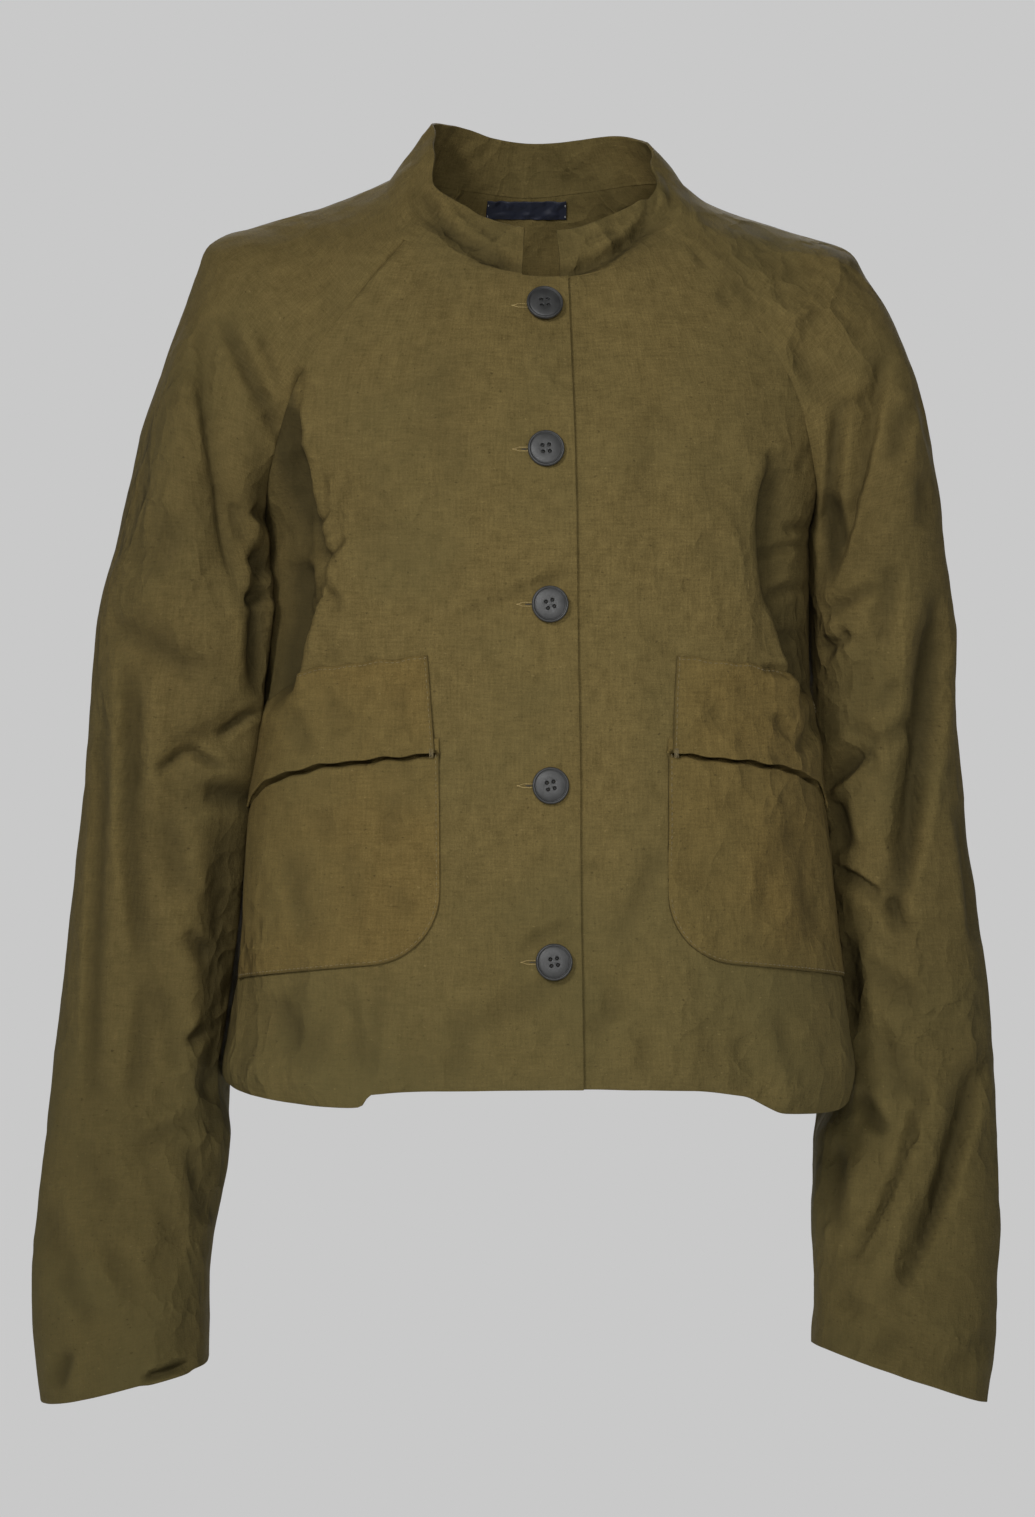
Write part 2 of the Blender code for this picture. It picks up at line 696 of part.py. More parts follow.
def add_front(name, side, laps, recess):
    right = side_edge(side, FRONT_SEAM)
    left = lap_edge(side, right, laps)
    across = np.linspace(0, 1, PANEL_COLUMNS + 1)
    hem_angles = left[0, 0] + across * (right[0, 0] - left[0, 0])
    neck_angles = left[-1, 0] + across * (right[-1, 0] - left[-1, 0])
    bottom = np.stack([hem_angles, hem_height(hem_angles)], axis=-1)
    top = np.stack([neck_angles, neck_height(neck_angles)], axis=-1)
    angles, heights = fill_between(left, right, bottom, top)
    return add_panel(name, angles, heights, recess)


def add_back():
    left = side_edge(1, BACK_SEAM)
    right = side_edge(-1, BACK_SEAM)
    right[:, 0] += 360
    hem_angles = np.linspace(90, 270, BACK_COLUMNS + 1)
    neck_angles = np.linspace(left[-1, 0], right[-1, 0], BACK_COLUMNS + 1)
    bottom = np.stack([hem_angles, hem_height(hem_angles)], axis=-1)
    top = np.stack([neck_angles, neck_height(neck_angles)], axis=-1)
    angles, heights = fill_between(left, right, bottom, top)
    return add_panel("back", angles, heights, sewn_first=True)


def add_sleeve(name, side, front_folds, back_folds):
    form = sleeve_form(side, front_folds, back_folds)
    turns = np.linspace(0, 360, SLEEVE_COLUMNS + 1)
    runs = np.concatenate([np.linspace(0, 1, SEAM_STEPS, endpoint=False), np.linspace(1, 2, ARM_ROWS)])
    turns, runs = np.meshgrid(turns, runs)
    outer = form(turns, runs)
    inner = outer + CLOTH * side * normal_of(form, turns, runs, TURN_STEP, RUN_STEP)
    return add_wall(name, outer, inner, LINEN, closed_from=SEAM_STEPS)


def collar_form(angle, share):
    """Points of the collar, from its base on the neckline to its top edge."""
    height = neck_height(angle)
    base = torso_plain(angle, height)
    on_left_front = np.mod(angle, 360) < 90
    base = base - (on_left_front * lap_recess(base))[..., None] * torso_normal(angle, height)
    rise, lean = (curve(angle) for curve in COLLAR_CURVES)
    inward = unit(np.array([0, NECK_AXIS_Y]) - base[..., :2])
    lifted = base + COLLAR_GAP * unit(torso_plain(angle, height + 1) - torso_plain(angle, height - 1))
    lifted[..., :2] += (lean * share)[..., None] * inward
    lifted[..., 2] += rise * share
    return lifted


def add_collar():
    first = angle_at(COLLAR_LEFT_END, neck_height(0))
    last = 360 - angle_at(COLLAR_RIGHT_END, neck_height(0))
    corners = RAGLAN_FRONT[-1].angle, SHOULDER_ANGLE, RAGLAN_BACK[-1].angle
    shoulder = np.interp(np.linspace(0, 2, SLEEVE_COLUMNS + 1), (0, 1, 2), corners)
    angles = np.concatenate(
        [
            np.linspace(first, shoulder[0], COLLAR_FRONT_STEPS, endpoint=False),
            shoulder[:-1],
            np.linspace(shoulder[-1], 360 - shoulder[-1], COLLAR_BACK_STEPS, endpoint=False),
            360 - shoulder[:0:-1],
            np.linspace(360 - shoulder[0], last, COLLAR_FRONT_STEPS + 1),
        ]
    )
    angles, shares = np.meshgrid(angles, np.linspace(0, 1, COLLAR_ROWS + 1))
    outer = collar_form(angles, shares)
    own = normal_of(collar_form, angles, shares, ANGLE_STEP, COLLAR_STEP)
    blend = smooth_step(0, 0.4, shares)[..., None]
    outward = unit(own * blend + torso_normal(angles, neck_height(angles)) * (1 - blend))
    return add_wall("collar", outer, outer - COLLAR_CLOTH * outward, LINEN)


def laid_on(side, angles, heights, offset):
    """Points of the folded torso form moved out by an offset."""
    return torso(side * angles, heights) + np.asarray(offset)[..., None] * torso_normal(side * angles, heights)


def pocket_share(columns):
    """Shares across a pocket, closer together near its rounded corner."""
    return np.linspace(0, 1, columns + 1) ** POCKET_CROWDING


def add_pocket(name, side):
    """A patch whose inner lower corner is round and whose top is tucked under the flap."""
    share, rise = np.meshgrid(pocket_share(POCKET_COLUMNS), np.linspace(0, 1, POCKET_ROWS + 1))
    from_corner = np.clip(POCKET_CORNER - share * POCKET_WIDTH, 0, POCKET_CORNER)
    corner = POCKET_CORNER - np.sqrt(POCKET_CORNER**2 - from_corner**2)
    bottom = POCKET_BOTTOM - POCKET_BOTTOM_DROP * share + corner
    top = POCKET_MOUTH - POCKET_DROP_CURVE(share) + POCKET_TUCK
    heights = bottom + rise * (top - bottom)
    inner_angle = angle_at(POCKET_INNER, heights)
    angles = inner_angle + share * (POCKET_OUTER_ANGLE - inner_angle)
    inner = laid_on(side, angles, heights, np.full_like(angles, LAID_GAP))
    outer = laid_on(side, angles, heights, np.full_like(angles, LAID_GAP + POCKET_CLOTH))
    return add_wall(name, outer, inner, LINEN)


def add_flap(name, side):
    """The upper piece of a pocket, which stands off a little along the mouth."""
    share, rise = np.meshgrid(pocket_share(POCKET_COLUMNS), np.linspace(0, 1, FLAP_ROWS + 1))
    heights = POCKET_MOUTH - POCKET_DROP_CURVE(share) + rise * (FLAP_TOP - POCKET_MOUTH)
    inner_x = FLAP_INNER_MOUTH + rise * (FLAP_INNER_TOP - FLAP_INNER_MOUTH)
    inner_angle = angle_at(inner_x, heights)
    angles = inner_angle + share * (POCKET_OUTER_ANGLE - inner_angle)
    offset = LAID_GAP + FLAP_STAND_OFF * (1 - rise) ** 2
    inner = laid_on(side, angles, heights, offset)
    outer = laid_on(side, angles, heights, offset + POCKET_CLOTH)
    return add_wall(name, outer, inner, LINEN)


def button_mesh():
    """A turned disc with a raised rim and a dished middle, and four holes through it."""
    shape = bmesh.new()
    points = [shape.verts.new((p.radius * MM, 0, p.height * MM)) for p in BUTTON_PROFILE]
    edges = [shape.edges.new(pair) for pair in zip(points, points[1:])]
    bmesh.ops.spin(
        shape,
        geom=points + edges,
        cent=(0, 0, 0),
        axis=(0, 0, 1),
        angle=2 * np.pi,
        steps=BUTTON_SIDES,
        use_merge=True,
    )
    bmesh.ops.remove_doubles(shape, verts=shape.verts, dist=0.01 * MM)
    bmesh.ops.recalc_face_normals(shape, faces=shape.faces)
    disc_mesh = bpy.data.meshes.new("button_disc")
    shape.to_mesh(disc_mesh)
    shape.free()
    disc = bpy.data.objects.new("button_disc", disc_mesh)
    bpy.context.scene.collection.objects.link(disc)
    cutters = []
    for x in (-HOLE_SPACING / 2, HOLE_SPACING / 2):
        for y in (-HOLE_SPACING / 2, HOLE_SPACING / 2):
            bpy.ops.mesh.primitive_cylinder_add(
                vertices=HOLE_SIDES, radius=HOLE_RADIUS * MM, depth=10 * MM, location=(x * MM, y * MM, 0)
            )
            cutters.append(bpy.context.object)
            cut = disc.modifiers.new("hole", "BOOLEAN")
            cut.operation = "DIFFERENCE"
            cut.object = cutters[-1]
    bpy.context.view_layer.update()
    mesh = bpy.data.meshes.new_from_object(disc.evaluated_get(bpy.context.evaluated_depsgraph_get()))
    mesh.name = "button"
    for helper in (disc, *cutters):
        bpy.data.objects.remove(helper)
    return mesh


def add_buttons():
    """Five buttons on the right front, over the centre front line."""
    mesh = button_mesh()
    for number, (x, height) in enumerate(BUTTONS, start=1):
        angle = angle_at(x, height)
        point = torso(angle, height) + BUTTON_GAP * torso_normal(angle, height)
        button = add_object(f"button_{number}", mesh, BUTTON_HORN)
        button.location = Vector(point) * MM
        button.rotation_euler = Vector(torso_normal(angle, height)).to_track_quat("Z", "Y").to_euler()


def add_label():
    """A plain woven label inside the back of the neck."""
    back = TORSO_CURVES[2](LABEL_TOP) - TORSO_MIDDLE(LABEL_TOP)
    half_angle = np.degrees(np.arctan2(LABEL_HALF_WIDTH, back))
    across = np.linspace(180 - half_angle, 180 + half_angle, LABEL_COLUMNS + 1)
    angles, heights = np.meshgrid(across, (LABEL_BOTTOM, LABEL_TOP))
    depth = np.full_like(angles, -CLOTH - LAID_GAP)
    outer = laid_on(1, angles, heights, depth)
    inner = laid_on(1, angles, heights, depth - LABEL_CLOTH)
    return add_wall("neck_label", outer, inner, LABEL_WEAVE)


def main():
    for old in list(bpy.data.objects):
        bpy.data.objects.remove(old)
    add_front("front_right", -1, (RIGHT_LAP_HEM, RIGHT_LAP_TOP), None)
    add_front("front_left", 1, (LEFT_LAP, LEFT_LAP), lap_recess)
    add_back()
    add_sleeve("sleeve_right", -1, SLEEVE_RIGHT_FRONT_FOLDS, SLEEVE_RIGHT_BACK_FOLDS)
    add_sleeve("sleeve_left", 1, SLEEVE_LEFT_FRONT_FOLDS, SLEEVE_LEFT_BACK_FOLDS)
    add_collar()
    for name, side in (("right", -1), ("left", 1)):
        add_pocket(f"pocket_{name}", side)
        add_flap(f"pocket_flap_{name}", side)
    add_buttons()
    add_label()


main()
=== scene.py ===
"""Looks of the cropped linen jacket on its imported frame: cloth, seams, pockets, buttons, label and studio.

Lengths are in millimetres and angles in degrees until a mesh is made. The front faces -Y, the wearer's left
is +X and height 0 is the level of the shoulders. An angle on the body is 0 at the centre front, 90 at the
wearer's left side and 180 at the centre back.
"""

import logging
import math
from collections.abc import Callable, Sequence
from dataclasses import dataclass
from enum import Enum
from typing import NamedTuple, TypeVar

import bmesh
import bpy
import numpy as np
from mathutils import Matrix, Vector


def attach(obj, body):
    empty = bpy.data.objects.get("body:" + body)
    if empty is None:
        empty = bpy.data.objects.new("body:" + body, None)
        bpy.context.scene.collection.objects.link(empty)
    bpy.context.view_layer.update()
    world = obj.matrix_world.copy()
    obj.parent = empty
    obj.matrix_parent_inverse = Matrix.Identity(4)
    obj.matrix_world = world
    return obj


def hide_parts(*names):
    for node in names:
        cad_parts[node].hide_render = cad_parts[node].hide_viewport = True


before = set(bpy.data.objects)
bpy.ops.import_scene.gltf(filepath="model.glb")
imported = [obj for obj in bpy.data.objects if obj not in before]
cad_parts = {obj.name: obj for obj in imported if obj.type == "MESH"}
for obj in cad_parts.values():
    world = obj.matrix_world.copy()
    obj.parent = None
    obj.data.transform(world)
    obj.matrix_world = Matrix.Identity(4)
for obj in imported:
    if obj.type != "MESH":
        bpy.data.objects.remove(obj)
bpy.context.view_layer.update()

MM = 0.001
WELD_DISTANCE = 0.01
EDGE_SEGMENTS = 2
CLOTH_EDGE_SHARE = 0.3
CLOTH_EDGE_ANGLE = 55
BEAD_SIDES = 6
BEAD_RINGS = 5

# How fast the banks of a crease fall, and how fast it fades where the cloth turns to the side
BANK_FALL = 0.7
SIDE_FADE = 2.0

# Sockets of a Mix node that mixes colours
MIX_FIRST = 6
MIX_SECOND = 7
MIX_RESULT = 2

log = logging.getLogger("jacket")

Array = np.ndarray
Curve = Callable[[Array], Array]
Pair = tuple[float, float]
Triple = tuple[float, float, float]
Colour = tuple[float, float, float, float]
Socket = bpy.types.NodeSocket
Material = bpy.types.Material
Piece = bpy.types.Object
Row = TypeVar("Row")


class Side(Enum):
    """A side of the wearer, as the sign of x there."""

    RIGHT = -1
    LEFT = 1


class Section(NamedTuple):
    """A level section through the body of the jacket."""

    height: float
    half_width: float
    front: float
    back: float
    middle: float
    squareness: float


class EdgePoint(NamedTuple):
    """A point of the neckline or the hem."""

    angle: float
    height: float


class SeamPoint(NamedTuple):
    """A point of a raglan seam."""

    height: float
    angle: float


class Ring(NamedTuple):
    """A section of a sleeve below the underarm, measured out from the centre plane."""

    height: float
    inner: float
    outer: float
    slant: float
    half_depth: float
    middle: float


class CapCurve(NamedTuple):
    """Handles of a curve over half a sleeve cap, at the seam and at the shoulder, and its turn aside."""

    share: float
    start: float
    end: float
    aside: float


class ShoulderPoint(NamedTuple):
    """A point of the shoulder line, which runs down the outside of a sleeve cap."""

    share: float
    out: float
    height: float
    y: float


class Crease(NamedTuple):
    """A soft trough from one point to another, as seen from the front, or a ridge if its depth is negative.

    It bows to the left of its run by so many millimetres. A lean above 0 makes its left bank the wider one,
    and a lean below 0 its right bank.
    """

    x0: float
    z0: float
    x1: float
    z1: float
    width: float
    depth: float
    bow: float = 0.0
    lean: float = 0.0


Creases = tuple[Crease, ...]


class CollarStep(NamedTuple):
    """Rise and inward lean of the collar at an angle."""

    angle: float
    rise: float
    lean: float


class MouthPoint(NamedTuple):
    """Drop of a pocket mouth at a share of its width."""

    share: float
    drop: float


class ButtonPlace(NamedTuple):
    """Where a button sits on the right front."""

    x: float
    height: float


class ProfilePoint(NamedTuple):
    """A point of a turned profile."""

    radius: float
    height: float


class Lamp(NamedTuple):
    """A soft square light, with its place and side in metres and its power in watts."""

    name: str
    place: Triple
    side: float
    power: float


def rows_of(kind: type[Row], *rows: tuple[float, ...]) -> tuple[Row, ...]:
    """A table of one kind of rows, which names their columns."""
    return tuple(kind(*row) for row in rows)


def smooth_curve(keys: Sequence[float], values: Sequence[float]) -> Curve:
    """A curve through the points of two table columns that never overshoots them, straight past both ends.

    Args:
        keys: Where the curve is known.
        values: What it is there.

    Returns:
        The curve, for one key or an array of keys.
    """
    order = np.argsort(keys)
    known = np.asarray(keys, float)[order]
    heights = np.asarray(values, float)[order]
    steps = np.diff(known)
    slopes = np.diff(heights) / steps
    product = slopes[:-1] * slopes[1:]
    total = slopes[:-1] + slopes[1:]
    inner = np.divide(2 * product, total, out=np.zeros_like(total), where=product > 0)
    tangents = np.concatenate([slopes[:1], inner, slopes[-1:]])

    def curve(key: Array) -> Array:
        """Value of the curve at a key."""
        inside = np.clip(key, known[0], known[-1])
        i = np.clip(np.searchsorted(known, inside, side="right") - 1, 0, len(steps) - 1)
        t = (inside - known[i]) / steps[i]
        bend = steps[i] * t * (1 - t) * (tangents[i] * (1 - t) - tangents[i + 1] * t)
        past = key - inside
        end_slope = np.where(past < 0, tangents[0], tangents[-1])
        return heights[i] + (heights[i + 1] - heights[i]) * t * t * (3 - 2 * t) + bend + past * end_slope

    return curve


def curves_of(rows: Sequence[tuple]) -> list[Curve]:
    """One smooth curve for each column of a table after the first, over the first."""
    keys, *columns = zip(*rows)
    return [smooth_curve(keys, column) for column in columns]


def smooth_step(low: float, high: float, x: Array) -> Array:
    """0 below the low value, 1 above the high one and smooth between them."""
    t = np.clip((x - low) / (high - low), 0, 1)
    return t * t * (3 - 2 * t)


def unit(vectors: Array) -> Array:
    """Vectors drawn to length 1."""
    return vectors / np.linalg.norm(vectors, axis=-1, keepdims=True)


def normal_of(form: Callable[[Array, Array], Array], u: Array, v: Array, du: float, dv: float) -> Array:
    """Unit normals of a form, from small steps along its two parameters.

    Args:
        form: The form, as a function of two parameters.
        u: First parameter.
        v: Second parameter.
        du: Small step along the first.
        dv: Small step along the second.

    Returns:
        One unit vector for each point.
    """
    along_u = form(u + du, v) - form(u - du, v)
    along_v = form(u, v + dv) - form(u, v - dv)
    return unit(np.cross(along_u, along_v))


def grid_normals(points: Array) -> Array:
    """Unit normals of a grid of points, along its columns crossed with along its rows."""
    return unit(np.cross(np.gradient(points, axis=1), np.gradient(points, axis=0)))


def lengths_from_start(points: Array, axis: int) -> Array:
    """Lengths along the lines of a grid, from its first row or column on."""
    steps = np.linalg.norm(np.diff(points, axis=axis), axis=-1)
    first = np.zeros_like(np.take(steps, [0], axis=axis))
    return np.concatenate([first, np.cumsum(steps, axis=axis)], axis=axis)


def lengths_from_end(points: Array, axis: int) -> Array:
    """Lengths along the lines of a grid, from its last row or column back."""
    return np.flip(lengths_from_start(np.flip(points, axis=axis), axis), axis=axis)


@dataclass(frozen=True)
class Crumple:
    """Uneven waves of one size all through space, for the crumple of the cloth.

    Attributes:
        seed: Which waves.
        size: Their usual length.
        height: Their usual height.
        creased: 0 for soft waves, 1 for waves with sharp crests.
        waves: How many of them are laid over each other.
        size_range: Shortest and longest of them, as shares of the usual length.
        crest: Level of the sharp crests, as a share of the height.
    """

    seed: int
    size: float
    height: float
    creased: float = 0.0
    waves: int = 24
    size_range: Pair = (0.65, 1.6)
    crest: float = 0.8

    def at(self, points: Array) -> Array:
        """How far the cloth moves out.

        Args:
            points: Points of the cloth.

        Returns:
            One distance for each point.
        """
        random = np.random.default_rng(self.seed)
        directions = unit(random.normal(size=(self.waves, 3)))
        sizes = self.size * random.uniform(*self.size_range, (self.waves, 1))
        phases = random.uniform(0, 2 * np.pi, self.waves)
        total = np.sin(points @ (2 * np.pi * directions / sizes).T + phases).sum(axis=-1)
        soft = total / np.sqrt(self.waves / 2)
        return self.height * ((1 - self.creased) * soft + self.creased * (self.crest - np.abs(soft)))


def crease_depth(creases: Creases, points: Array) -> Array:
    """How far creases move the cloth along its normal: soft troughs between low banks.

    Args:
        creases: The creases.
        points: Points of the cloth.

    Returns:
        One distance for each point, below 0 in a trough.
    """
    moved = np.zeros(points.shape[:-1])
    for crease in creases:
        run = np.array([crease.x1 - crease.x0, crease.z1 - crease.z0])
        length = np.hypot(*run)
        offset = points[..., [0, 2]] - np.array([crease.x0, crease.z0])
        along = offset @ run / length**2
        bowed = 4 * along * (1 - along) * crease.bow
        beside = (offset[..., 1] * run[0] - offset[..., 0] * run[1]) / length - bowed
        beside = beside / (crease.width * (1 + crease.lean * np.sign(beside)))
        taper = np.clip(1 - (2 * along - 1) ** 4, 0, 1)
        moved -= crease.depth * taper * (1 - beside**2) * np.exp(-BANK_FALL * beside**2)
    return moved


def creases_on(points: Array, normals: Array, front: Creases, back: Creases) -> Array:
    """Crease depths where the cloth faces the front or the back, fading towards the sides.

    Args:
        points: Points of the cloth, or where they are seen.
        normals: Its normals.
        front: Creases of the front.
        back: Creases of the back.

    Returns:
        One distance for each point.
    """
    facing_front = np.clip(-SIDE_FADE * normals[..., 1], 0, 1)
    facing_back = np.clip(SIDE_FADE * normals[..., 1], 0, 1)
    return facing_front * crease_depth(front, points) + facing_back * crease_depth(back, points)


@dataclass(frozen=True)
class View:
    """How the jacket is seen: a level camera, a little turned.

    Attributes:
        turned: Turn of the camera.
        distance: From the camera to the middle of the jacket.
        aside: How far the camera stands to the right.
        eye_height: Its height.
        lens: Its focal length.
        sensor: Width of its sensor.
    """

    turned: float = -4.5
    distance: float = 3300
    aside: float = -10.57
    eye_height: float = -302
    lens: float = 137.04
    sensor: float = 36

    def axes(self) -> tuple[Array, Array]:
        """Unit vectors to the right of the view and along it."""
        turn = np.radians(self.turned)
        right = np.array([np.cos(turn), np.sin(turn), 0])
        return right, np.array([-np.sin(turn), np.cos(turn), 0])

    def seen(self, points: Array) -> Array:
        """Where points are seen on the upright plane through the middle of the jacket.

        Args:
            points: Points of the jacket.

        Returns:
            Points with the place across as x and the place upwards as z.
        """
        right, forward = self.axes()
        nearer = self.distance / (points @ forward + self.distance)
        across = self.aside + nearer * (points @ right - self.aside)
        upwards = self.eye_height + nearer * (points[..., 2] - self.eye_height)
        return np.stack([across, points[..., 1], upwards], axis=-1)


VIEW = View()


class Shading:
    """The nodes of one material, added and joined in short calls."""

    bend_scale: float = 0.9
    bend_detail: float = 3.0

    def __init__(self, name: str) -> None:
        """Starts a material with one Principled shader."""
        self.material = bpy.data.materials.new(name)
        self.material.use_nodes = True
        self.nodes = self.material.node_tree.nodes
        self.links = self.material.node_tree.links
        self.shader = self.nodes["Principled BSDF"]

    def join(self, value: object, socket: Socket) -> None:
        """Links an output to a socket, or sets a plain value on it."""
        if isinstance(value, Socket):
            self.links.new(value, socket)
        else:
            socket.default_value = value

    def add(self, kind: str, **inputs: object) -> bpy.types.Node:
        """Adds a node of a kind, with values for its inputs."""
        return self.fill(self.nodes.new(f"ShaderNode{kind}"), inputs)

    def fill(self, node: bpy.types.Node, values: dict[str, object]) -> bpy.types.Node:
        """The same node, with values for inputs that are named with underscores for spaces."""
        for name, value in values.items():
            self.join(value, node.inputs[name.replace("_", " ")])
        return node

    def place(self, scale: Triple, space: str = "UV") -> Socket:
        """Coordinates with so many units in a metre along each axis, in UV along the cloth or in Object."""
        coordinates = self.add("TexCoord").outputs[space]
        return self.add("Mapping", Scale=scale, Vector=coordinates).outputs["Vector"]

    def noise(self, scale: Triple, detail: float, space: str = "UV") -> Socket:
        """Noise with so many units in a metre."""
        vector = self.place(scale, space)
        return self.add("TexNoise", Scale=1.0, Detail=detail, Vector=vector).outputs["Fac"]

    def height(self) -> Socket:
        """Height on the jacket, in metres."""
        return self.add("SeparateXYZ", Vector=self.place((1, 1, 1), "Object")).outputs["Z"]

    def facets(self, scale: Triple, warp: float) -> Socket:
        """Rounded hollows with crisp edges between them, such as a crumple leaves.

        Args:
            scale: Hollows in a metre, along each axis.
            warp: How far their coordinates are bent.

        Returns:
            Height of the cloth, from 0 to about 1.
        """
        vector = self.place(scale, "Object")
        bent = self.add("TexNoise", Scale=self.bend_scale, Detail=self.bend_detail, Vector=vector)
        moved = self.add("VectorMath")
        moved.operation = "MULTIPLY_ADD"
        for value, socket in zip((bent.outputs["Color"], (warp, warp, warp), vector), moved.inputs):
            self.join(value, socket)
        cells = self.add("TexVoronoi", Scale=1.0, Vector=moved.outputs["Vector"])
        return self.math("POWER", cells.outputs["Distance"], 2.0)

    def attribute(self, name: str) -> Socket:
        """A value kept with the points of a piece."""
        node = self.add("Attribute")
        node.attribute_name = name
        return node.outputs["Fac"]

    def math(self, operation: str, first: object, second: object) -> Socket:
        """The result of an operation on two values."""
        node = self.add("Math")
        node.operation = operation
        self.join(first, node.inputs[0])
        self.join(second, node.inputs[1])
        return node.outputs["Value"]

    def total(self, *values: Socket) -> Socket:
        """All the values added up."""
        result = values[0]
        for value in values[1:]:
            result = self.math("ADD", result, value)
        return result

    def spread(
        self, value: object, low: float, high: float, to_low: float = 0.0, to_high: float = 1.0
    ) -> Socket:
        """A value moved from one range to another and kept inside it."""
        node = self.add(
            "MapRange", Value=value, From_Min=low, From_Max=high, To_Min=to_low, To_Max=to_high
        )
        return node.outputs["Result"]

    def blend(self, factor: object, first: object, second: object) -> Socket:
        """A colour between two, by a factor from 0 to 1."""
        node = self.add("Mix")
        node.data_type = "RGBA"
        self.join(factor, node.inputs["Factor"])
        self.join(first, node.inputs[MIX_FIRST])
        self.join(second, node.inputs[MIX_SECOND])
        return node.outputs[MIX_RESULT]

    def bump(self, height: object, depth: float) -> Socket:
        """Normals of a surface with a height of 0 to 1 times a depth in metres."""
        return self.add("Bump", Strength=1.0, Distance=depth, Height=height).outputs["Normal"]

    def set(self, **values: object) -> Material:
        """The finished material, with values for the inputs of its shader."""
        self.fill(self.shader, values)
        return self.material


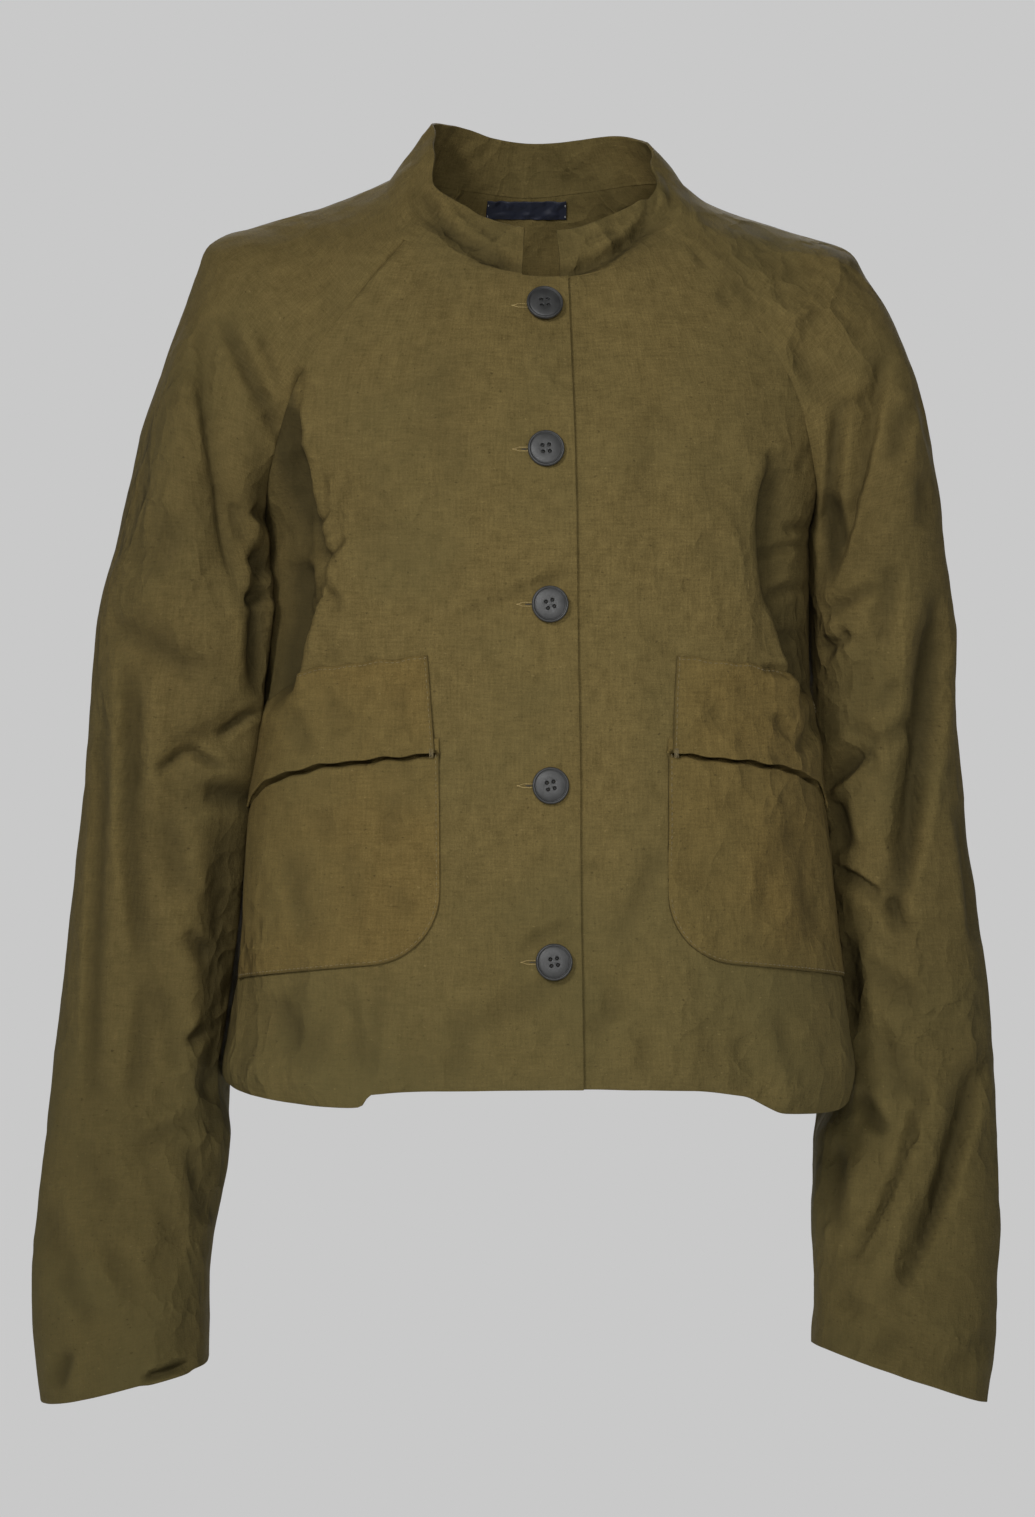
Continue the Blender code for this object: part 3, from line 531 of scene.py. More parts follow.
@dataclass(frozen=True)
class LinenFinish:
    """Olive-brown linen with uneven threads, slubs, flecks and a faded cast here and there.

    It has painted shade in its folds, which the pieces tell it, and in the hollows of its own wrinkles.
    A grain is given as pattern units in a metre.
    """

    name: str = "olive_linen"
    deep: Colour = (0.068, 0.048, 0.0148, 1)
    pale: Colour = (0.176, 0.128, 0.0465, 1)
    green: Colour = (0.100, 0.082, 0.031, 1)
    fleck: Colour = (0.036, 0.025, 0.009, 1)
    light_fleck: Colour = (0.24, 0.18, 0.075, 1)
    shade: Colour = (0.028, 0.022, 0.0085, 1)
    roughness: float = 0.9
    weave_depth: float = 0.00028
    crumple_depth: float = 0.0002
    wrinkle_depth: float = 0.006
    low_cast: float = 0.4
    low_heights: Pair = (-0.30, -0.50)
    painted_fold_shade: float = 0.76
    wrinkle_shade: float = 0.10
    specular: float = 0.1
    weft_slub_grain: Triple = (95, 780, 1)
    warp_slub_grain: Triple = (780, 80, 1)
    weft_grain: Triple = (620, 2000, 1)
    warp_grain: Triple = (2000, 620, 1)
    cast_grain: Triple = (11, 11, 11)
    mottle_grain: Triple = (130, 130, 130)
    fleck_grain: Triple = (330, 470, 1)
    crumple_grain: Triple = (70, 70, 55)
    patch_grain: Triple = (9, 9, 7)
    wrinkle_grain: Triple = (24, 24, 17)
    small_wrinkle_grain: Triple = (62, 62, 50)
    small_wrinkles: float = 0.45
    wrinkle_warp: float = 1.6
    small_wrinkle_warp: float = 1.2
    thread_range: Pair = (1.4, 2.6)
    weave_range: Pair = (1.2, 2.8)
    mottle_range: Pair = (0.25, 0.75)
    cast_range: Pair = (0.42, 0.68)
    fleck_range: Pair = (0.66, 0.76)
    light_fleck_range: Pair = (0.32, 0.24)
    patch_range: Pair = (0.35, 0.65)
    wrinkle_shade_range: Pair = (0.05, 0.5)
    thread_share: float = 0.7
    mottle_share: float = 0.3
    cast_share: float = 0.35
    fleck_share: float = 0.6
    light_fleck_share: float = 0.35
    least_wrinkled: float = 0.15
    ridge_gain: float = 4
    rough_change: float = 0.06

    def material(self) -> Material:
        """Builds the material."""
        s = Shading(self.name)
        weft_slubs = s.noise(self.weft_slub_grain, 2.0)
        warp_slubs = s.noise(self.warp_slub_grain, 2.0)
        weft = s.noise(self.weft_grain, 1.0)
        warp = s.noise(self.warp_grain, 1.0)
        cast = s.noise(self.cast_grain, 3.0, "Object")
        mottle = s.noise(self.mottle_grain, 4.0, "Object")
        threads = s.total(weft_slubs, warp_slubs, weft, warp)
        tone = s.total(
            s.spread(threads, *self.thread_range, 0.0, self.thread_share),
            s.spread(mottle, *self.mottle_range, 0.0, self.mottle_share),
        )
        cloth = s.blend(tone, self.deep, self.pale)
        low_down = s.spread(s.height(), *self.low_heights, 0.0, self.low_cast)
        in_cast = s.spread(cast, *self.cast_range, 0.0, self.cast_share)
        faded = s.blend(s.math("ADD", in_cast, low_down), cloth, self.green)
        flecks = s.noise(self.fleck_grain, 2.0)
        in_fleck = s.spread(flecks, *self.fleck_range, 0.0, self.fleck_share)
        specked = s.blend(in_fleck, faded, self.fleck)
        in_light = s.spread(flecks, *self.light_fleck_range, 0.0, self.light_fleck_share)
        colour = s.blend(in_light, specked, self.light_fleck)
        # Painted shade in the creases, from the fold value that each piece keeps with its points
        fold_shade = s.spread(s.attribute("fold"), 0.0, 1.0, 0.0, self.painted_fold_shade)
        colour = s.blend(fold_shade, colour, self.shade)
        crumple = s.noise(self.crumple_grain, 3.0, "Object")
        ridges = s.math("ABSOLUTE", s.math("SUBTRACT", crumple, 0.5), 0.0)
        weave_height = s.math("MULTIPLY", s.spread(threads, *self.weave_range), self.weave_depth)
        crumple_height = s.math("MULTIPLY", ridges, -self.ridge_gain * self.crumple_depth)
        patches = s.noise(self.patch_grain, 2.0, "Object")
        where = s.spread(patches, *self.patch_range, self.least_wrinkled, 1.0)
        wide = s.facets(self.wrinkle_grain, self.wrinkle_warp)
        small = s.facets(self.small_wrinkle_grain, self.small_wrinkle_warp)
        wrinkles = s.math("ADD", wide, s.math("MULTIPLY", small, self.small_wrinkles))
        # Painted shade in the hollows of the wrinkles, none along their crisp edges
        wrinkle_hollow_shade = s.math("MULTIPLY", s.spread(wrinkles, *self.wrinkle_shade_range, self.wrinkle_shade, 0.0), where)
        colour = s.blend(wrinkle_hollow_shade, colour, self.shade)
        wrinkle_height = s.math("MULTIPLY", wrinkles, s.math("MULTIPLY", where, self.wrinkle_depth))
        normal = s.bump(s.total(weave_height, crumple_height, wrinkle_height), 1.0)
        smoother, rougher = (self.roughness + step * self.rough_change for step in (-1, 1))
        rough = s.spread(threads, *self.thread_range, smoother, rougher)
        return s.set(Base_Color=colour, Roughness=rough, Normal=normal, Specular_IOR_Level=self.specular)


@dataclass(frozen=True)
class GrainFinish:
    """Two tones in a fine grain, such as thread, ribbon or horn.

    Attributes:
        name: Name of the material.
        deep: Deeper tone.
        pale: Paler tone.
        grain: Units of the grain in a metre.
        clouds: Units of the clouds that mix the tones, where the grain doesn't.
        space: UV along the cloth, or Object.
        detail: Detail of the grain.
        contrast: Range of the grain between the tones.
        depth: Depth of the grain, in metres.
        roughness: Least and most roughness.
        sheen: Its sheen.
    """

    name: str
    deep: Colour
    pale: Colour
    grain: Triple = (2600, 2600, 2600)
    clouds: Triple | None = None
    space: str = "Object"
    detail: float = 2.0
    contrast: Pair = (0.35, 0.65)
    depth: float = 0.00008
    roughness: Pair = (0.7, 0.7)
    sheen: float = 0.2

    def material(self) -> Material:
        """Builds the material."""
        s = Shading(self.name)
        grain = s.noise(self.grain, self.detail, self.space)
        mixed = s.noise(self.clouds, 3.0, self.space) if self.clouds else grain
        return s.set(
            Base_Color=s.blend(s.spread(mixed, *self.contrast), self.deep, self.pale),
            Roughness=s.spread(grain, *self.contrast, *self.roughness),
            Normal=s.bump(grain, self.depth),
            Sheen_Weight=self.sheen,
        )


class Finishes:
    """The materials that the pieces share."""

    def __init__(self) -> None:
        """Builds each material once."""
        self.linen = LinenFinish().material()
        self.creased_linen = LinenFinish(
            "creased_linen", crumple_depth=0.0003, wrinkle_depth=0.0085, wrinkle_shade=0.2
        ).material()
        self.pocket_linen = LinenFinish(
            "pocket_linen",
            deep=(0.073, 0.0485, 0.0138, 1),
            pale=(0.184, 0.128, 0.0425, 1),
            wrinkle_depth=0.0075,
            low_cast=0.1,
        ).material()
        self.horn = GrainFinish(
            "slate_horn",
            deep=(0.016, 0.0157, 0.0150, 1),
            pale=(0.032, 0.0315, 0.0305, 1),
            grain=(1400, 1400, 1400),
            clouds=(210, 160, 190),
            contrast=(0.3, 0.7),
            depth=0.00004,
            roughness=(0.42, 0.56),
            sheen=0.0,
        ).material()
        self.label = GrainFinish(
            "navy_ribbon",
            deep=(0.0045, 0.006, 0.014, 1),
            pale=(0.011, 0.014, 0.030, 1),
            grain=(300, 4200, 1),
            space="UV",
            detail=1.0,
            contrast=(0.3, 0.7),
            depth=0.00006,
            roughness=(0.47, 0.65),
            sheen=0.0,
        ).material()
        self.floor = GrainFinish(
            "studio_floor",
            deep=(0.84, 0.84, 0.84, 1),
            pale=(0.88, 0.88, 0.88, 1),
            grain=(1.5, 1.5, 1.5),
            contrast=(0.0, 1.0),
            depth=0.0,
            roughness=(0.9, 0.9),
            sheen=0.0,
        ).material()
        self.seam_thread = GrainFinish(
            "olive_thread", (0.075, 0.053, 0.016, 1), (0.185, 0.136, 0.048, 1)
        ).material()
        self.gold_thread = GrainFinish(
            "gold_thread", (0.19, 0.13, 0.037, 1), (0.38, 0.28, 0.10, 1)
        ).material()
        # Near-black thread that also paints the shade in the button holes and the buttonhole slits
        self.dark_thread_and_shade = GrainFinish(
            "slate_thread_and_shade", (0.006, 0.006, 0.006, 1), (0.016, 0.015, 0.014, 1)
        ).material()
        self.white_thread = GrainFinish(
            "white_thread", (0.30, 0.29, 0.27, 1), (0.55, 0.54, 0.51, 1)
        ).material()


def mesh_of(name: str, shape: bmesh.types.BMesh) -> bpy.types.Mesh:
    """A mesh from a bmesh, which it frees."""
    mesh = bpy.data.meshes.new(name)
    shape.to_mesh(mesh)
    shape.free()
    return mesh


def linked(name: str, data: bpy.types.ID) -> Piece:
    """A new object in the scene."""
    made = bpy.data.objects.new(name, data)
    bpy.context.scene.collection.objects.link(made)
    return made


def add_object(name: str, mesh: bpy.types.Mesh, material: Material) -> Piece:
    """Puts a mesh into the scene with one material and smooth faces.

    Args:
        name: Name of the piece.
        mesh: Its mesh.
        material: Its material.

    Returns:
        The new object.
    """
    mesh.name = name
    mesh.materials.clear()
    mesh.materials.append(material)
    mesh.shade_smooth()
    return linked(name, mesh)


def fit(piece: Piece, slot: str, *nodes: str) -> None:
    """Fixes a piece to the frame.

    Args:
        piece: The piece.
        slot: Material slot of the record; not used.
        nodes: Solids that it stands for.
    """
    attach(piece, "root")
    if nodes:
        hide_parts(*nodes)
    log.info("%s: %d faces", piece.name, len(piece.data.polygons))


def round_edges(piece: Piece, width: float, degrees: float) -> None:
    """Rounds the edges of a piece that turn by more than an angle.

    Args:
        piece: The piece.
        width: Width of the rounding.
        degrees: The angle.
    """
    edge = piece.modifiers.new("edge", "BEVEL")
    edge.width = width * MM
    edge.segments = EDGE_SEGMENTS
    edge.limit_method = "ANGLE"
    edge.angle_limit = math.radians(degrees)


def moved_to(point: Sequence[float]) -> Matrix:
    """A move from the origin to a point."""
    return Matrix.Translation(Vector(point) * MM)


def facing(normal: Array) -> Matrix:
    """A turn that brings the upward axis to a normal."""
    return Vector(normal).to_track_quat("Z", "Y").to_matrix().to_4x4()


def bead_size(x: float, y: float, z: float) -> Matrix:
    """The scale that makes a unit ball a bead, from its half sizes."""
    return Matrix.Diagonal((x, y, z, 1 / MM)) * MM


def cloth_object(
    name: str,
    points: Array,
    uv: Array,
    outward: Array,
    material: Material,
    thickness: float,
    closed_from: int | None = None,
    fold: Array | None = None,
) -> Piece:
    """A sheet of cloth on a grid of points, with its thickness laid inwards and its edges rounded.

    Args:
        name: Name of the piece.
        points: Its outer surface, as rows of points.
        uv: Place of each point on the flat cloth, in metres.
        outward: Normals that tell its outer side.
        material: Its material.
        thickness: Thickness of the cloth.
        closed_from: Row from which the last column is the first one, on a tube.
        fold: How deep in a fold each point lies, from 0 to 1, which the linen paints as shade.

    Returns:
        The new object.
    """
    rows, columns = points.shape[:2]
    shell = bmesh.new()
    bmesh.ops.create_grid(shell, x_segments=columns - 1, y_segments=rows - 1, size=1.0)
    if np.sum(grid_normals(points) * outward) < 0:
        bmesh.ops.reverse_faces(shell, faces=shell.faces)
    mesh = mesh_of(name, shell)
    mesh.vertices.foreach_set("co", (points * MM).astype(np.float32).ravel())
    corners = np.zeros(len(mesh.loops), np.int32)
    mesh.loops.foreach_get("vertex_index", corners)
    layer = mesh.uv_layers.new(name="cloth")
    layer.uv.foreach_set("vector", uv.reshape(-1, 2)[corners].astype(np.float32).ravel())
    if fold is not None:
        depths = mesh.attributes.new("fold", "FLOAT", "POINT")
        depths.data.foreach_set("value", np.clip(fold, 0, 1).astype(np.float32).ravel())
    if closed_from is not None:
        tube = bmesh.new()
        tube.from_mesh(mesh)
        tube.verts.ensure_lookup_table()
        pairs = [(row * columns, (row + 1) * columns - 1) for row in range(closed_from, rows)]
        ends = [tube.verts[index] for pair in pairs for index in pair]
        bmesh.ops.remove_doubles(tube, verts=ends, dist=WELD_DISTANCE * MM)
        tube.to_mesh(mesh)
        tube.free()
    piece = add_object(name, mesh, material)
    wall = piece.modifiers.new("wall", "SOLIDIFY")
    wall.thickness = thickness * MM
    wall.offset = -1
    round_edges(piece, CLOTH_EDGE_SHARE * thickness, CLOTH_EDGE_ANGLE)
    return piece


@dataclass(frozen=True)
class Stitch:
    """A row of small threads, each a long bead lying on the cloth.

    Attributes:
        length: Length of one stitch.
        gap: Gap between two stitches.
        radius: Radius of the thread.
        seed: Which small unevenness.
        uneven: How far a stitch may shift along the line.
        start: Where the first stitch starts.
    """

    length: float = 2.3
    gap: float = 0.9
    radius: float = 0.26
    seed: int = 5
    uneven: float = 0.15
    start: float = 0.4

    def beads(self, line: Array, normals: Array) -> list[Matrix]:
        """Places of the stitches along a line.

        Args:
            line: Points of the line.
            normals: Normals of the cloth there.

        Returns:
            One matrix for each stitch.
        """
        random = np.random.default_rng(self.seed)
        lengths = lengths_from_start(line, 0)
        half = self.length / 2
        size = bead_size(half, self.radius, self.radius)
        places = []
        for start in np.arange(self.start, lengths[-1] - self.length, self.length + self.gap):
            middle = start + half + random.uniform(-self.uneven, self.uneven)
            first, last = (self.point(line, lengths, middle + step) for step in (-half, half))
            up = Vector(self.point(normals, lengths, middle)).normalized()
            along = Vector(last - first).normalized()
            across = up.cross(along).normalized()
            turn = Matrix((along, across, along.cross(across))).transposed().to_4x4()
            places.append(moved_to((first + last) / 2) @ turn @ size)
        return places

    @staticmethod
    def point(values: Array, lengths: Array, at: float) -> Array:
        """Value at a length along a line."""
        return np.array([np.interp(at, lengths, column) for column in values.T])


def bead_object(name: str, beads: Sequence[Matrix], material: Material) -> Piece:
    """Many small threads as one piece.

    Args:
        name: Name of the piece.
        beads: Place, turn and size of each thread.
        material: Its material.

    Returns:
        The new object.
    """
    thread = bmesh.new()
    for place in beads:
        bmesh.ops.create_uvsphere(
            thread, u_segments=BEAD_SIDES, v_segments=BEAD_RINGS, radius=1.0, matrix=place
        )
    bmesh.ops.recalc_face_normals(thread, faces=thread.faces)
    return add_object(name, mesh_of(name, thread), material)


@dataclass
class Body:
    """The form of the body of the jacket, on which the panels lie and to which all else is sewn."""

    sections: tuple[Section, ...] = rows_of(Section,
        (45, 69, -36, 62, 10, 2.0), (28, 84, -44, 66, 10, 2.0), (14, 108, -51, 74, 8, 2.1),
        (0, 138, -58, 81, 7, 2.15), (-11, 159, -63, 86, 6, 2.2), (-32, 172, -75, 94, 4, 2.3),
        (-60, 174, -88, 101, 2, 2.35), (-100, 171, -102, 107, 0, 2.4), (-140, 164, -111, 110, -3, 2.4),
        (-180, 154, -116, 110, -6, 2.4), (-240, 156, -119, 107, -10, 2.4),
        (-320, 162, -122, 104, -12, 2.4), (-400, 169, -126, 106, -14, 2.4),
        (-460, 177, -129, 110, -15, 2.4), (-478, 180, -130, 112, -15, 2.4),
        (-505, 172, -126, 108, -15, 2.4),
    )
    neckline: tuple[EdgePoint, ...] = rows_of(EdgePoint,
        (-25, -27), (0, -32), (25, -27), (52, -10), (67, 15), (90, 29), (115, 32), (145, 29), (180, 26),
        (215, 29),
    )
    hem: tuple[EdgePoint, ...] = rows_of(EdgePoint,
        (-90, -481), (-75, -488), (-62, -492.5), (-50, -494.5), (-47.5, -494), (-45, -487), (-30, -485),
        (0, -484.5), (35, -485.5), (47, -489), (58, -500), (70, -501), (90, -492), (135, -488),
        (180, -487), (225, -488), (255, -486), (270, -481),
    )
    raglan_front: tuple[SeamPoint, ...] = rows_of(SeamPoint,
        (-175, 90), (-158, 78), (-130, 70), (-85, 63), (-42, 56), (-10, 52),
    )
    raglan_back: tuple[SeamPoint, ...] = rows_of(SeamPoint,
        (-175, 90), (-150, 100), (-110, 108), (-60, 118), (-15, 129), (29.4, 141),
    )
    underarm: float = -175
    shoulder_angle: float = 97
    full_fold: float = 8
    angle_step: float = 0.4
    height_step: float = 0.8
    seam_ease: float = 14
    neck_ease: float = 26
    pressed_range: Pair = (20, 45)
    lap_depth: float = 2.8
    lap_range: Pair = (-46, -20)
    groove_depth: float = 0.08
    groove_width: float = 1.6
    groove_heights: Pair = (-75, -20)
    right_neck_groove: float = 1.5
    left_neck_groove: float = 0.12
    seam_samples: int = 160
    place_samples: int = 541
    place_height: float = -300.0
    front_folds: Creases = rows_of(Crease,
        (-122, -424, -107, -490, 14, 6), (57, -394, 24, -446, 14, 3), (123, -143, 137, -259, 22, 7),
        (-129, -127, -144, -237, 20, 6), (101, -457, 123, -493, 14, 5),
    )
    back_folds: Creases = rows_of(Crease,
        (-96, -150, -62, -300, 20, 5), (104, -140, 84, -262, 20, 5), (40, -390, 62, -486, 18, 5),
        (-70, -400, -88, -486, 18, 4),
    )
    # These creases also paint shade into the cloth through fold; the broad shallow one from (-150, -432) to
    # (-122, -482) is there mostly for its painted shade on the lower left as seen.
    front_creases: Creases = rows_of(Crease,
        (-150, -58, -135, -122, 6, 7, 0, -0.2), (-147, -98, -145, -208, 11, 9),
        (-140, -100, -135, -158, 7, 6.5, 0, -0.3), (-145, -188, -155, -276, 12, 11, 3),
        (-137, -148, -122, -188, 7, 7, 0, -0.3), (-109, -175, -124, -192, 3.5, 3.5),
        (-122, -180, -131, -224, 6, 6.5, 2, -0.3), (-128, -214, -142, -266, 7, 7, 0, -0.3),
        (-118, -158, -128, -172, 3, 2.6), (-114, -206, -127, -212, 3, 2.8),
        (-137, -124, -133, -188, 9, 5.5), (-134, -176, -141, -250, 9, 5.5),
        (-140, -148, -132, -186, 3, -2), (-138, -206, -134, -236, 2.6, -2),
        (-140, -100, -136, -128, 3, -2), (-123, -198, -113, -219, 4, 3, 0, 0.4),
        (-124, -228, -117, -250, 4, 2.6, 0, 0.5), (-126, -136, -121, -152, 3.5, 2.2),
        (-150, -432, -122, -482, 22, 3), (137, -126, 140, -216, 11, 8, -3, 0.35),
        (140, -204, 155, -270, 9, 7, 2, 0.3), (157, -132, 160, -290, 10, 5),
        (150, -140, 160, -116, 4, 2.6), (132, -186, 158, -178, 3.5, 2.6), (144, -236, 162, -226, 4, 3),
        (146, -172, 163, -168, 4, 3), (142, -206, 162, -202, 4, 3.4), (129, -250, 147, -254, 4, 4),
        (146, -253, 164, -264, 4, 4), (149, -300, 165, -272, 6, 4), (134, -276, 147, -293, 5, 3.4),
        (150, -340, 160, -410, 8, 3), (-10, -414, 24, -396, 4, 2.4, 1.5, 0.4),
        (-44, -462, 22, -424, 9, 2.2), (30, -462, 52, -436, 8, 2.4), (46, -410, 74, -352, 10, 2.4),
        (-38, -216, 24, -196, 4, 2.2, 0, 0.4), (-88, -420, -96, -484, 8, 3),
        (-104, -430, -106, -480, 7, 3), (-134, -430, -140, -470, 6, 1), (-40, -440, -46, -486, 9, 1.8),
        (-150, -438, -136, -462, 6, 1.6), (96, -444, 104, -486, 8, 1.5), (136, -446, 150, -490, 8, 2.4),
        (60, -452, 66, -486, 8, 1.2), (-126, -470, -112, -440, 7, 1), (-80, -320, -84, -352, 8, 1.8),
        (-70, -395, -86, -372, 8, 2), (-108, -352, -100, -400, 9, 1.8),
        (-142, -352, -132, -410, 9, 2.6, 0, 0.4), (-124, -330, -116, -352, 8, 1.6),
        (98, -318, 120, -334, 8, 1.1), (104, -350, 96, -388, 9, 1), (132, -352, 128, -400, 8, 1),
        (118, -404, 140, -414, 7, 1.2), (146, -330, 140, -372, 8, 2.2), (-60, -60, -44, -150, 18, 1.2),
        (-96, -120, -84, -190, 14, 1.4), (70, -90, 52, -190, 18, 1.2), (100, -110, 96, -190, 12, 1.4),
        (-80, -258, -74, -286, 8, 1.5), (-120, -262, -112, -290, 9, 1.8), (96, -262, 104, -288, 8, 1.5),
        (-140, -272, -130, -300, 8, 2.4),
    )
    shoulder_creases: Creases = rows_of(Crease,
        (-181, -48, -141, -128, 6, 5, 0, 0.2), (-156, -60, -146, -92, 4.5, 3),
        (-134, -78, -138, -100, 4.5, 2.5), (-146, -96, -138, -118, 4, 2.5),
        (174, -92, 164, -206, 5.5, 6), (112, -36, 124, -29, 5, 2), (88, -6, 97, -22, 4, 2),
        (104, -32, 112, -44, 5, 2), (148, -62, 160, -90, 5, 1.4), (152, -58, 168, -44, 6, 1),
    )
    back_creases: Creases = rows_of(Crease,
        (-30, -60, -52, -170, 14, 2.4), (44, -70, 30, -190, 14, 2.2),
        (-122, -296, -100, -410, 9, 2.2, 4), (118, -310, 126, -420, 9, 3.2),
        (-20, -360, -10, -470, 11, 2.6), (80, -230, 96, -330, 8, 2.4),
        (-132, -196, -106, -292, 8, 2.4, 5), (130, -186, 110, -278, 8, 2.6, -3),
        (-138, -104, -114, -206, 7, 2.8, 4, 0.3), (138, -100, 117, -200, 7, 3, -4, -0.3),
        (-60, -250, -18, -272, 6, 2.2), (24, -282, 66, -262, 6, 2.2), (52, -330, 60, -400, 8, 2),
    )
    crumples: tuple[Crumple, ...] = rows_of(Crumple, (11, 120, 0.9), (12, 52, 0.5, 0.7), (13, 24, 0.2, 0.6))

    def __post_init__(self) -> None:
        """Draws smooth curves through the tables."""
        self.section_curves = curves_of(self.sections)
        self.front_y = self.section_curves[1]
        self.back_y = self.section_curves[2]
        self.middle = self.section_curves[3]
        (self.neck_curve,) = curves_of(self.neckline)
        (self.hem_curve,) = curves_of(self.hem)
        self.front_seam = self.seam_table(self.raglan_front)
        self.back_seam = self.seam_table(self.raglan_back)

    def reach(self, angle: Array, height: Array) -> Array:
        """How far the plain form lies from its upright axis."""
        half_width, front, back, middle, squareness = (curve(height) for curve in self.section_curves)
        turn = np.radians(angle)
        depth = np.where(np.cos(turn) > 0, middle - front, back - middle)
        across = np.abs(np.sin(turn)) / half_width
        along = np.abs(np.cos(turn)) / depth
        return (across**squareness + along**squareness) ** (-1 / squareness)

    def plain(self, angle: Array, height: Array) -> Array:
        """Points of the form before it is folded."""
        angle, height = np.broadcast_arrays(np.asarray(angle, float), np.asarray(height, float))
        turn = np.radians(angle)
        reach = self.reach(angle, height)
        return np.stack([reach * np.sin(turn), self.middle(height) - reach * np.cos(turn), height], axis=-1)

    def plain_normal(self, angle: Array, height: Array) -> Array:
        """Outward normals of the plain form."""
        return normal_of(self.plain, angle, height, self.angle_step, self.height_step)

    def folded(self, angle: Array, height: Array) -> tuple[Array, Array, Array]:
        """Points and normals of the plain form, and how far its large folds move it."""
        points = self.plain(angle, height)
        normals = self.plain_normal(angle, height)
        return points, normals, creases_on(points, normals, self.front_folds, self.back_folds)

    def sewn(self, angle: Array, height: Array) -> Array:
        """Points of the form with its large folds alone, where other pieces are sewn on."""
        points, normals, moved = self.folded(angle, height)
        return points + normals * moved[..., None]

    def sewn_normal(self, angle: Array, height: Array) -> Array:
        """Outward normals of the form with its large folds."""
        return normal_of(self.sewn, angle, height, self.angle_step, self.height_step)

    def surface(self, angle: Array, height: Array, weight: Array | float = 1.0) -> Array:
        """Points of the cloth as it hangs, with its creases and crumple.

        Args:
            angle: Angles round the body.
            height: Heights.
            weight: Share of the fine creases that is left, from 0 to 1.

        Returns:
            The points.
        """
        points, normals, moved = self.folded(angle, height)
        fine = creases_on(VIEW.seen(points), normals, self.front_creases, self.back_creases)
        for crumple in self.crumples:
            fine = fine + crumple.at(points)
        return points + normals * (moved + weight * fine)[..., None]

    def fold(self, angle: Array, height: Array) -> Array:
        """How deep in a crease the cloth lies, from 0 to 1, which the linen paints as shade."""
        points = self.plain(angle, height)
        normals = self.plain_normal(angle, height)
        depth = creases_on(VIEW.seen(points), normals, self.front_creases, self.back_creases)
        return np.clip(-(depth + self.pressed_depth(points)) / self.full_fold, 0, 1)

    def pressed_depth(self, points: Array) -> Array:
        """Depth of the creases that run over the raglan seams."""
        on_front = smooth_step(*self.pressed_range, -points[..., 1])
        return crease_depth(self.shoulder_creases, VIEW.seen(points)) * on_front

    def pressed(self, points: Array) -> Array:
        """Points pressed straight back by the creases that run over the raglan seams."""
        return points - self.pressed_depth(points)[..., None] * np.array([0, 1, 0])

    def angle_at(self, x: Array, height: Array) -> Array:
        """The angle at which the front of the plain form has a given x."""
        half_width, front, _, middle, squareness = (curve(height) for curve in self.section_curves)
        rest = np.clip(1 - (np.abs(x) / half_width) ** squareness, 0, 1)
        return np.degrees(np.arctan2(x, (middle - front) * rest ** (1 / squareness)))

    def neck_height(self, angle: Array) -> Array:
        """Height of the neckline, the same on both sides."""
        return self.neck_curve(180 - np.abs(180 - np.mod(angle, 360)))

    def hem_height(self, angle: Array) -> Array:
        """Height of the hem."""
        return self.hem_curve(np.mod(np.asarray(angle) + 90, 360) - 90)

    def lap_recess(self, points: Array) -> Array:
        """How far the left front lies in, so that it passes under the right one."""
        return self.lap_depth * smooth_step(*self.lap_range, -points[..., 0])

    def groove(self, distance: Array, points: Array) -> Array:
        """Depth of the groove along a raglan seam, which shows most near the neck on the wearer's right."""
        near_neck = smooth_step(*self.groove_heights, points[..., 2])
        at_neck = np.where(points[..., 0] < 0, self.right_neck_groove, self.left_neck_groove)
        depth = self.groove_depth + near_neck * at_neck
        return depth * np.exp(-((distance / self.groove_width) ** 2))

    def line_shares(self, angles: Array, heights: Array) -> Array:
        """Share of the length along a line on the body, from 0 to 1."""
        lengths = lengths_from_start(self.plain(angles, heights), 0)
        return lengths / lengths[-1]

    def seam_table(self, seam: tuple[SeamPoint, ...]) -> tuple[Array, Array, Array]:
        """Shares of length, angles and heights of a raglan seam on the wearer's left, from the neckline."""
        (curve,) = curves_of(seam)
        heights = np.linspace(seam[-1].height, self.underarm, self.seam_samples)
        angles = curve(heights)
        return self.line_shares(angles, heights), angles, heights

    def cloth_place(self, angle: Array, height: Array) -> Array:
        """Place on the flat cloth, in metres, with the warp upright."""
        fine = np.linspace(-180, 360, self.place_samples)
        arcs = lengths_from_start(self.plain(fine, self.place_height), 0)
        return np.stack([np.interp(angle, fine, arcs), height], axis=-1) * MM


def on_seam(seam: tuple[Array, Array, Array], side: Side, share: Array) -> tuple[Array, Array]:
    """Angle and height at a share of the way down a raglan seam, on either side of the wearer."""
    shares, angles, heights = seam
    return side.value * np.interp(share, shares, angles), np.interp(share, shares, heights)


